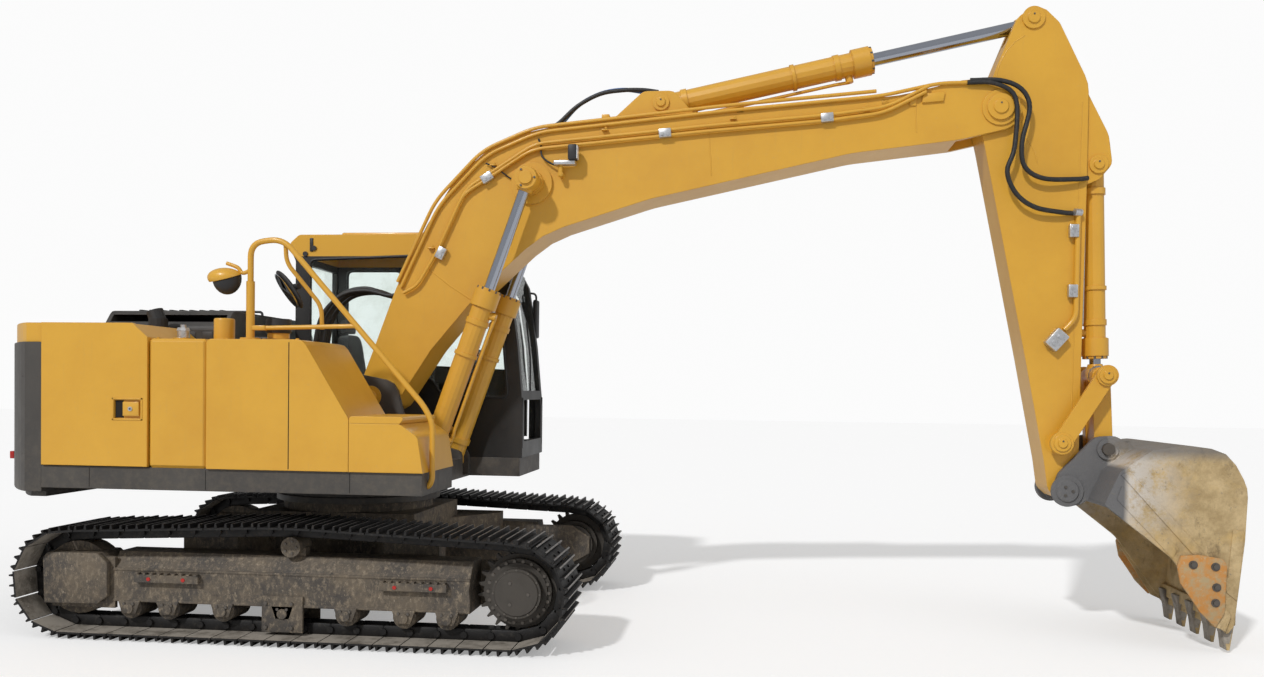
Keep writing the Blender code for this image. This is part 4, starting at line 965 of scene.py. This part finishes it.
def cushion(name, lo, hi, lean, about):
    """A crowned pad from a coarse cage, leant about its lower rear edge, with two sewn channels."""
    bm = bmesh.new()
    add_box(bm, lo, hi)
    bmesh.ops.subdivide_edges(bm, edges=bm.edges[:], cuts=6, use_grid_fill=True)
    middle = (Vector(lo) + Vector(hi)) / 2
    half = (Vector(hi) - Vector(lo)) / 2
    thin = min(range(3), key=lambda k: half[k])
    for v in bm.verts:
        q = [(v.co[k] - middle[k]) / half[k] for k in range(3)]
        others = [q[k] for k in range(3) if k != thin]
        crown = (1 - others[0] ** 4) * (1 - others[1] ** 4)
        groove = sum(math.exp(-((others[1] - w) / 0.07) ** 2) for w in (-0.55, 0.55))
        v.co[thin] += q[thin] * half[thin] * (0.22 * crown - 0.16 * groove - 0.06)
        for k in range(3):
            if k != thin:
                v.co[k] -= q[k] * half[k] * 0.10 * abs(q[3 - k - thin]) ** 6
    if lean:
        turn = Matrix.Translation(about) @ Matrix.Rotation(lean, 4, "Y") @ Matrix.Translation(-Vector(about))
        bmesh.ops.transform(bm, matrix=turn, verts=bm.verts)
    ob = piece(bm, name, "upper_structure", "cloth", angle=60)
    soft = ob.modifiers.new("soft", "SUBSURF")
    soft.levels = 2
    soft.render_levels = 2
    return ob


def make_cab_inside():
    """Padded seat, armrest consoles with levers, travel pedals, monitor and floor mat."""
    base = cushion("seat_cushion", at(-0.32, 0.715, 1.575), at(0.19, 1.105, 1.705), 0, at(0, 0, 0))
    cushion("seat_backrest", at(-0.42, 0.725, 1.70), at(-0.31, 1.095, 2.29), math.radians(-9),
            at(-0.36, 0.9, 1.66))
    cushion("seat_headrest", at(-0.505, 0.80, 2.30), at(-0.435, 1.02, 2.42), 0, at(0, 0, 0))
    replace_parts(base, "driver_seat")
    bm = bmesh.new()
    for y in (0.64, 1.18):
        add_box(bm, at(-0.18, y - 0.035, 1.862), at(0.20, y + 0.035, 1.90), 0.012)
        add_rod(bm, at(0.24, y, 1.862), at(0.245, y, 1.93), 0.034, 0.018)
        add_rod(bm, at(0.245, y, 1.92), at(0.262, y, 2.02), 0.013)
        add_rod(bm, at(0.258, y, 2.00), at(0.278, y, 2.10), 0.021, 0.026)
    for y in (0.84, 1.00):
        add_box(bm, at(0.84, y - 0.04, 1.302), at(1.0, y + 0.04, 1.33), 0.006)
        add_rod(bm, at(0.86, y, 1.32), at(0.80, y, 1.92), 0.011)
        add_rod(bm, at(0.80, y, 1.90), at(0.80, y, 2.02), 0.019)
    add_box(bm, at(-0.70, 0.56, 1.3015), at(1.18, 1.31, 1.309), 0.003)
    add_box(bm, at(-0.70, 0.58, 1.31), at(-0.58, 1.30, 1.95), 0.02)
    piece(bm, "cab_controls", "upper_structure", "plastic")
    bm = bmesh.new()
    add_box(bm, at(0.78, 0.58, 1.99), at(0.82, 0.80, 2.16), 0.012)
    add_box(bm, at(0.775, 0.60, 2.01), at(0.781, 0.78, 2.14), mat=1)
    add_rod(bm, at(0.80, 0.66, 1.66), at(0.80, 0.66, 2.0), 0.014)
    add_box(bm, at(0.70, 0.55, 1.56), at(1.10, 0.62, 1.68), 0.02)
    piece(bm, "monitor", "upper_structure", "plastic", "screen")


# ------------------------------------------------------------------ working arm
def pin_cap(bm, pin, y, out, r, bolt=0.014):
    """The end of a pin: a collar, a raised cap and its lock bolt."""
    add_disc(bm, pin, y - out * 0.004, y + out * 0.014, r, 32)
    add_disc(bm, pin, y + out * 0.014, y + out * 0.026, r * 0.58, 28, r1=r * 0.52)
    add_disc(bm, (pin[0], pin[1] + r * 0.26), y + out * 0.024, y + out * 0.030, bolt * 0.5, 6, 1)


def clamp(bm, x, z, y, lean=0.0):
    """A zinc tube clamp with two bolts on the side of the boom or stick."""
    made = add_box(bm, (-0.048, -0.040, -0.034), (0.048, 0.004, 0.034), 0.006)
    for dx in (-0.022, 0.022):
        made = made + add_rod(bm, (dx, -0.040, -0.012), (dx, -0.050, -0.012), 0.011, sides=6)
    verts = [v for v in made if v.is_valid]
    bmesh.ops.transform(bm, matrix=Matrix.Translation(at(x, y, z)) @ Matrix.Rotation(lean, 4, "Y"),
                        verts=verts)


BOOM_TUBE = [(0.437, 2.57), (0.551, 2.63), (0.705, 2.889), (0.921, 3.356), (1.074, 3.449), (1.474, 3.704),
             (2.515, 3.795), (2.779, 3.82), (3.761, 3.893), (4.187, 3.945), (4.50, 4.10)]
TOP_TUBE = [(0.413, 2.62), (0.72, 3.27), (1.10, 3.665), (1.52, 3.84), (3.015, 3.985), (4.16, 4.075),
            (4.60, 4.165), (4.80, 4.165)]


def make_boom():
    """Tubes, clamps, welds, pin bosses and work lamp of the boom."""
    y = -BOOM_HALF
    for side, s in SIDES.items():
        face = s * BOOM_HALF
        low = [at(x, face + s * 0.030, z) for x, z in BOOM_TUBE]
        twin = [at(x + 0.022, face + s * 0.030, z + 0.044) for x, z in BOOM_TUBE[2:]]
        tubes("boom_side_tubes_" + side, "boom_arm", "yellow", [rounded(low, 0.10), rounded(twin, 0.10)],
              0.0135)
        top = [at(x, face + s * 0.017, z) for x, z in TOP_TUBE]
        outer = [at(x - 0.030, face + s * 0.012, z + 0.040) for x, z in TOP_TUBE[:-2]]
        tubes("boom_top_tubes_" + side, "boom_arm", "yellow", [rounded(top, 0.12), rounded(outer, 0.12)],
              0.014)
    bm = bmesh.new()
    for x, z, lean in ((0.745, 2.889, -1.1), (1.114, 3.485, -0.55), (2.523, 3.815, -0.09),
                       (3.762, 3.915, -0.09)):
        clamp(bm, x, z, y - 0.012, lean)
    piece(bm, "boom_clamps", "boom_arm", "zinc")
    bm = bmesh.new()
    for x, z in ((0.66, 2.93), (1.16, 3.585), (2.05, 3.85), (3.05, 3.92), (4.05, 3.985)):
        add_box(bm, at(x - 0.025, y - 0.040, z - 0.006), at(x + 0.025, y + 0.004, z + 0.004), 0.002)
        add_disc(bm, (x + 0.008, z + 0.014), y - 0.020, y - 0.032, 0.009, 6)
    add_slab(bm, [(4.47, 4.02), (4.63, 4.03), (4.64, 4.10), (4.48, 4.09)], y - 0.018, y + 0.002, bevel=0.004)
    add_slab(bm, [(4.38, 4.00), (4.43, 4.00), (4.43, 4.09), (4.38, 4.09)], y - 0.012, y + 0.002, bevel=0.003)
    for s in (-1, 1):
        for x in (2.05, 3.10, 4.20):
            add_box(bm, at(x - 0.03, s * 0.15 - 0.06, 3.86 + x * 0.035),
                    at(x + 0.03, s * 0.15 + 0.06, 3.90 + x * 0.038), 0.004)
    piece(bm, "boom_brackets", "boom_arm", "yellow")
    seams = []
    for s in (-1, 1):
        face = s * (BOOM_HALF - 0.0035)
        seams.append([at(2.862, face, 3.90), at(2.868, face, 3.75), at(2.880, face, 3.60),
                      at(2.886, face, 3.49)])
        seams.append([at(4.425, face, 4.05), at(4.430, face, 3.92), at(4.436, face, 3.80)])
        seams.append([at(0.62, face, 2.78), at(0.80, face, 2.64), at(0.99, face, 2.52)])
    tubes("boom_welds", "boom_arm", "yellow", seams, 0.007, 2)
    bm = bmesh.new()
    for s in (-1, 1):
        outer = s * (0.305 + 0.11)
        add_disc(bm, BOOM_CYL_ROD, s * 0.206, s * 0.235, 0.165, 40)
        add_disc(bm, BOOM_CYL_ROD, s * 0.415, outer + s * 0.045, 0.092, 36, r1=0.086)
        add_disc(bm, BOOM_CYL_ROD, outer + s * 0.045, outer + s * 0.060, 0.052, 28)
        ring_of_bolts(bm, BOOM_CYL_ROD, outer + s * 0.044, s, 0.070, 3, 0.009, 0.008, 1)
        pin_cap(bm, STICK_CYL_BASE, s * 0.145, s, 0.066)
        pin_cap(bm, BOOM_TIP, s * 0.226, s, 0.098)
        add_disc(bm, BOOM_TIP, s * 0.209, s * 0.222, 0.135, 40)
        pin_cap(bm, BOOM_FOOT, s * 0.276, s, 0.085)
    piece(bm, "boom_pin_bosses", "boom_arm", "yellow", "bolt")
    bm = bmesh.new()
    add_box(bm, at(1.775, y - 0.13, 3.60), at(1.845, y - 0.045, 3.72), 0.012)
    add_box(bm, at(1.842, y - 0.122, 3.61), at(1.850, y - 0.053, 3.71), mat=1)
    add_box(bm, at(1.66, y - 0.11, 3.565), at(1.83, y - 0.03, 3.600), 0.008, mat=2)
    add_rod(bm, at(1.71, y + 0.002, 3.50), at(1.71, y - 0.08, 3.50), 0.022, mat=3)
    add_rod(bm, at(1.71, y - 0.07, 3.48), at(1.71, y - 0.07, 3.58), 0.018, mat=3)
    piece(bm, "boom_lamp", "boom_arm", "plastic", "lens", "zinc", "yellow")
    cable = smooth_path([at(1.80, y - 0.07, 3.60), at(1.68, y - 0.05, 3.57), at(1.56, y - 0.03, 3.64),
                         at(1.54, y - 0.012, 3.74), at(1.52, y - 0.010, 3.79)])
    tubes("lamp_cable", "boom_arm", "rubber", [cable], 0.008, 2)
    grease = smooth_path([at(1.10, y - 0.02, 3.60), at(1.18, y - 0.03, 3.565), at(1.30, y - 0.014, 3.48),
                          at(1.38, y - 0.018, 3.45)])
    tubes("grease_line", "boom_arm", "rubber", [grease], 0.006, 2)


STICK_HOSES = (
    [(4.82, 4.180), (5.04, 4.172), (5.19, 4.10), (5.250, 3.958), (5.200, 3.706), (5.224, 3.527),
     (5.363, 3.440), (5.60, 3.435), (5.70, 3.447)],
    [(4.80, 4.165), (5.00, 4.150), (5.15, 4.03), (5.147, 3.674), (5.097, 3.488), (5.168, 3.323),
     (5.308, 3.225), (5.50, 3.190), (5.60, 3.185)],
)


def hose(name, points, diameter, key="rubber"):
    """A free hose: a tube of the given diameter along a smooth path through the points, on no body."""
    path = smooth_path(points, 5)
    ob = tubes(name, None, key, [path], diameter / 2, 2)
    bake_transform(ob)
    return ob


def make_stick():
    """Hoses, tube, clamps, welds and pin caps of the stick and its links."""
    for k, route in enumerate(STICK_HOSES):
        last = len(route) - 1
        points = [at(x, -0.232 + 0.044 * i / last - 0.050 * math.sin(math.pi * i / last), z)
                  for i, (x, z) in enumerate(route)]
        hose(f"stick_hose_{k + 1}", points, STICK_HOSE)
    y = -STICK_HALF
    line = rounded([at(5.635, y - 0.026, 3.19), at(5.633, y - 0.026, 2.40), at(5.55, y - 0.026, 2.31)], 0.08)
    tubes("stick_tube", "stick_arm", "yellow", [line], 0.020, 4)
    thin = rounded([at(5.712, -0.09, 3.10), at(5.712, -0.09, 2.36), at(5.690, -0.09, 2.34)], 0.02)
    tubes("stick_guard_rod", "stick_arm", "zinc", [thin], 0.008, 2)
    bm = bmesh.new()
    for z in (3.052, 2.602):
        clamp(bm, 5.603, z, y - 0.016, math.pi / 2)
    block = add_box(bm, (-0.075, -0.07, -0.055), (0.075, 0.0, 0.055), 0.010)
    for dx in (-0.035, 0.035):
        block += add_rod(bm, (dx, -0.07, 0.0), (dx, -0.084, 0.0), 0.020, sides=8)
    bmesh.ops.transform(bm, matrix=Matrix.Translation(at(5.492, y, 2.235)) @ Matrix.Rotation(-0.85, 4, "Y"),
                        verts=block)
    add_rod(bm, at(5.600, y - 0.05, 3.19), at(5.655, y - 0.03, 3.19), 0.026, sides=8)
    piece(bm, "stick_clamps", "stick_arm", "zinc")
    seams = []
    for s in (-1, 1):
        face = s * (STICK_HALF - 0.0035)
        seams.append([at(5.655, face, 4.02), at(5.640, face, 3.2), at(5.628, face, 2.2),
                      at(5.62, face, 1.45)])
        arc = [at(5.36 - 0.34 * math.cos(a), face, 4.16 + 0.40 * math.sin(a)) for a in
               [math.radians(-50 + 13 * k) for k in range(10)]]
        seams.append(arc)
        arc = [at(4.98 + 0.36 * math.cos(a), face, 3.52 + 0.36 * math.sin(a)) for a in
               [math.radians(8 + 8 * k) for k in range(9)]]
        seams.append(arc)
    tubes("stick_welds", "stick_arm", "yellow", seams, 0.006, 2)
    bm = bmesh.new()
    for s in (-1, 1):
        face = s * STICK_HALF
        pin_cap(bm, STICK_CYL_ROD, face, s, 0.084)
        pin_cap(bm, BUCKET_CYL_BASE, s * 0.138, s, 0.070)
        add_disc(bm, ROCKER_PIN, face - s * 0.002, face + s * 0.0001, 0.10, 32)
    piece(bm, "stick_pin_caps", "stick_arm", "yellow", "bolt")
    bm = bmesh.new()
    for s in (-1, 1):
        pin_cap(bm, ROCKER_PIN, s * 0.272, s, 0.062)
        add_disc(bm, ROCKER_PIN, s * 0.236, s * 0.274, 0.084, 32)
    piece(bm, "rocker_caps", "rocker_links", "yellow", "bolt")
    bm = bmesh.new()
    for s in (-1, 1):
        pin_cap(bm, LINK_TOP, s * 0.290, s, 0.062)
        add_disc(bm, LINK_TOP, s * 0.273, s * 0.292, 0.078, 32)
    piece(bm, "link_caps", "push_link", "yellow", "bolt")


def make_cylinder_fittings(name, barrel_body, rod_body, base, end, y, reach, r, rod_r, rod_long, eye_half,
                           eye_r):
    """Collar, wear bands, port block and feed tube of a cylinder, its bright rod and its painted rod eye."""
    b, e = at(base[0], y, base[1]), at(end[0], y, end[1])
    d = (e - b).normalized()
    side = Vector((0, -1, 0)) if y <= 0 else Vector((0, 1, 0))
    across = d.cross(side).normalized()
    bm = bmesh.new()
    for where, wide, extra in ((reach - 0.155, 0.135, 0.020), (reach - 0.30, 0.045, 0.008),
                               (0.16, 0.05, 0.010), (reach * 0.62, 0.03, 0.010)):
        add_rod(bm, b + d * where, b + d * (where + wide), r + extra, sides=32)
    for k in range(10):
        a = 2 * math.pi * k / 10
        spot = b + d * (reach - 0.02) + (across * math.cos(a) + side * math.sin(a)) * (r + 0.006)
        add_rod(bm, spot, spot + d * 0.020, 0.010, sides=6, mat=1)
    for where in (0.24, reach - 0.20):
        spot = b + d * where + across * r
        add_rod(bm, spot - across * 0.01, spot + across * 0.045, 0.030, sides=16)
    piece(bm, name + "_bands", barrel_body, "yellow", "bolt")
    run = [b + d * 0.24 + across * (r + 0.040), b + d * 0.36 + across * (r + 0.034),
           b + d * (reach - 0.32) + across * (r + 0.034), b + d * (reach - 0.20) + across * (r + 0.040)]
    tubes(name + "_feed_tube", barrel_body, "yellow", [run], 0.013)
    bm = bmesh.new()
    add_rod(bm, e - d * rod_long, e - d * eye_r * 0.5, rod_r + 0.0012, sides=40)
    piece(bm, name + "_bright_rod", rod_body, "chrome")
    bm = bmesh.new()
    add_disc(bm, end, y - eye_half, y + eye_half, eye_r, 32)
    add_rod(bm, e - d * (eye_r + 0.010), e - d * eye_r * 0.5, eye_r * 0.66, eye_r * 0.85, sides=24)
    piece(bm, name + "_rod_eye", rod_body, "yellow")


def make_bucket():
    """Wear strips, side cutters, teeth and hinge caps."""
    x0, z0 = BUCKET_PIN
    half = BUCKET_WIDTH / 2
    bm = bmesh.new()
    for s in (-1, 1):
        face = s * half
        strip = [(0.26, 0.155), (0.315, 0.185), (1.03, -0.60), (0.985, -0.655)]
        add_slab(bm, [(x0 + u, z0 + v) for u, v in strip], *sorted((face - s * 0.004, face + s * 0.009)),
                 bevel=0.003)
        edge = [(0.235, -0.02), (0.265, 0.075), (0.66, -0.36), (0.62, -0.43)]
        add_slab(bm, [(x0 + u, z0 + v) for u, v in edge], *sorted((face - s * 0.004, face + s * 0.006)),
                 bevel=0.002)
        heel = [(1.02, -0.22), (1.098, -0.22), (1.060, -0.72), (0.985, -0.66)]
        add_slab(bm, [(x0 + u, z0 + v) for u, v in heel], *sorted((face - s * 0.004, face + s * 0.007)),
                 bevel=0.002)
    for y in (-0.42, -0.14, 0.14, 0.42):
        add_box(bm, at(x0 + 1.083, y - 0.035, z0 - 0.55), at(x0 + 1.112, y + 0.035, z0 - 0.02), 0.006)
    add_box(bm, at(x0 + 0.985, -half + 0.01, z0 - 0.90), at(x0 + 1.062, half - 0.01, z0 - 0.80), 0.010)
    piece(bm, "bucket_wear_strips", "digging_bucket", "bucket")

    bm = bmesh.new()
    for s in (-1, 1):
        plate = [(0.640, -0.475), (0.665, -0.405), (0.79, -0.395), (0.945, -0.42), (0.975, -0.46),
                 (0.965, -0.80), (0.905, -0.905), (0.80, -0.80), (0.735, -0.70), (0.665, -0.60)]
        add_slab(bm, [(x0 + u, z0 + v) for u, v in plate],
                 *sorted((s * (half + 0.018), s * (half + 0.040))), bevel=0.005)
        for u, v in ((0.745, -0.465), (0.895, -0.475), (0.905, -0.62), (0.90, -0.73)):
            spot = (x0 + u, z0 + v)
            add_disc(bm, spot, s * (half + 0.038), s * (half + 0.046), 0.030, 20, 1)
            add_disc(bm, spot, s * (half + 0.044), s * (half + 0.058), 0.019, 8, 1)
    piece(bm, "side_cutters", "digging_bucket", "cutter", "bolt")

    bm = bmesh.new()
    for k in range(5):
        y = -half + 0.083 + k * (BUCKET_WIDTH - 0.166) / 4
        for wide, top, low, front, back in ((0.056, -0.835, -0.965, 1.070, 0.960),
                                            (0.050, -0.955, -1.075, 1.048, 0.988)):
            made = add_box(bm, at(x0 + back, y - wide, z0 + low), at(x0 + front, y + wide, z0 + top), 0.010)
            for v in made:
                if v.is_valid and v.co.z < z0 + low + 0.03:
                    v.co.x += (at(x0 + 1.018, 0, 0).x - v.co.x) * 0.42
                    v.co.y += (y - v.co.y) * 0.15
        add_box(bm, at(x0 + 1.02, y - 0.058, z0 - 0.93), at(x0 + 1.04, y + 0.058, z0 - 0.905), 0.004)
    piece(bm, "bucket_teeth", "digging_bucket", "dusty")

    bm = bmesh.new()
    for s in (-1, 1):
        add_disc(bm, BUCKET_PIN, s * 0.216, s * 0.232, 0.118, 40)
        add_disc(bm, BUCKET_PIN, s * 0.232, s * 0.246, 0.086, 36, r1=0.078)
        ring_of_bolts(bm, BUCKET_PIN, s * 0.245, s, 0.036, 3, 0.012, 0.008, 1)
        add_disc(bm, LINK_LOW, s * 0.216, s * 0.236, 0.078, 32)
        add_disc(bm, LINK_LOW, s * 0.236, s * 0.262, 0.048, 24, r1=0.044, mat=1)
    piece(bm, "bucket_hinge_caps", "digging_bucket", "bucket", "bolt")


# ------------------------------------------------------------------ hoses of the upper structure
FOOT_HOSE_Y = (-0.135, -0.085, -0.035, 0.035, 0.085, 0.135)


def make_hoses():
    """Hoses from the house to the boom and from the boom to the stick cylinder."""
    for k, y in enumerate(FOOT_HOSE_Y):
        lift = 0.022 * (k % 2)
        points = [at(-0.33, y, 1.232), at(-0.335, y, 1.62), at(-0.34, y, 2.02 - lift), at(-0.34, y, 2.18),
                  at(-0.28, y, 2.40 + lift), at(-0.12, y, 2.56 + lift),
                  at(0.08, y, 2.60 + lift), at(0.27, y, 2.56), at(0.345, y, 2.565)]
        hose(f"boom_foot_hose_{k + 1}", points, HOSE)
    for k, y in enumerate((-0.055, 0.0)):
        points = [at(1.56, y, 3.895), at(1.66, y, 3.960), at(1.80, y, 4.085 + 0.02 * k),
                  at(1.98, y, 4.178 + 0.02 * k),
                  at(2.16, y, 4.205 + 0.02 * k), at(2.32, y, 4.205), at(2.45, y, 4.187)]
        hose(f"stick_cylinder_hose_{k + 1}", points, HOSE, key=("rubber", "blue")[k])
    bm = bmesh.new()
    for y in FOOT_HOSE_Y:
        add_rod(bm, at(-0.33, y, 1.29), at(-0.33, y, 1.35), 0.024, sides=8)
    add_box(bm, at(-0.42, -0.20, 1.222), at(-0.24, 0.20, 1.30), 0.012, mat=1)
    piece(bm, "control_valve", "upper_structure", "zinc", "plastic")


def make_everything():
    make_camera()
    make_lights()
    make_world()
    make_floor()
    finish_frame()
    make_hoses()
    make_tracks()
    for side, s in SIDES.items():
        make_drive(side, s)
        make_frame_fittings(side, s)
        make_cylinder_fittings("boom_cylinder_" + side, "boom_barrels", "boom_rods", BOOM_CYL_BASE,
                               BOOM_CYL_ROD,
                               s * 0.36, 1.478, 0.083, 0.043, 1.46, 0.056, 0.088)
    make_bearing()
    make_side_panels()
    make_hood()
    make_tank_fittings()
    make_handrail()
    make_mirrors()
    make_counterweight_fittings()
    make_cab_outside()
    make_cab_inside()
    make_boom()
    make_stick()
    make_cylinder_fittings("stick_cylinder", "stick_barrel", "stick_rod", STICK_CYL_BASE, STICK_CYL_ROD, 0.0,
                           1.673,
                           0.092, 0.048, 1.78, 0.066, 0.085)
    make_cylinder_fittings("bucket_cylinder", "bucket_barrel", "bucket_rod", BUCKET_CYL_BASE, LINK_TOP, 0.0,
                           1.46,
                           0.078, 0.040, 1.40, 0.066, 0.080)
    make_bucket()


make_everything()
bpy.context.scene.view_settings.view_transform = "Standard"
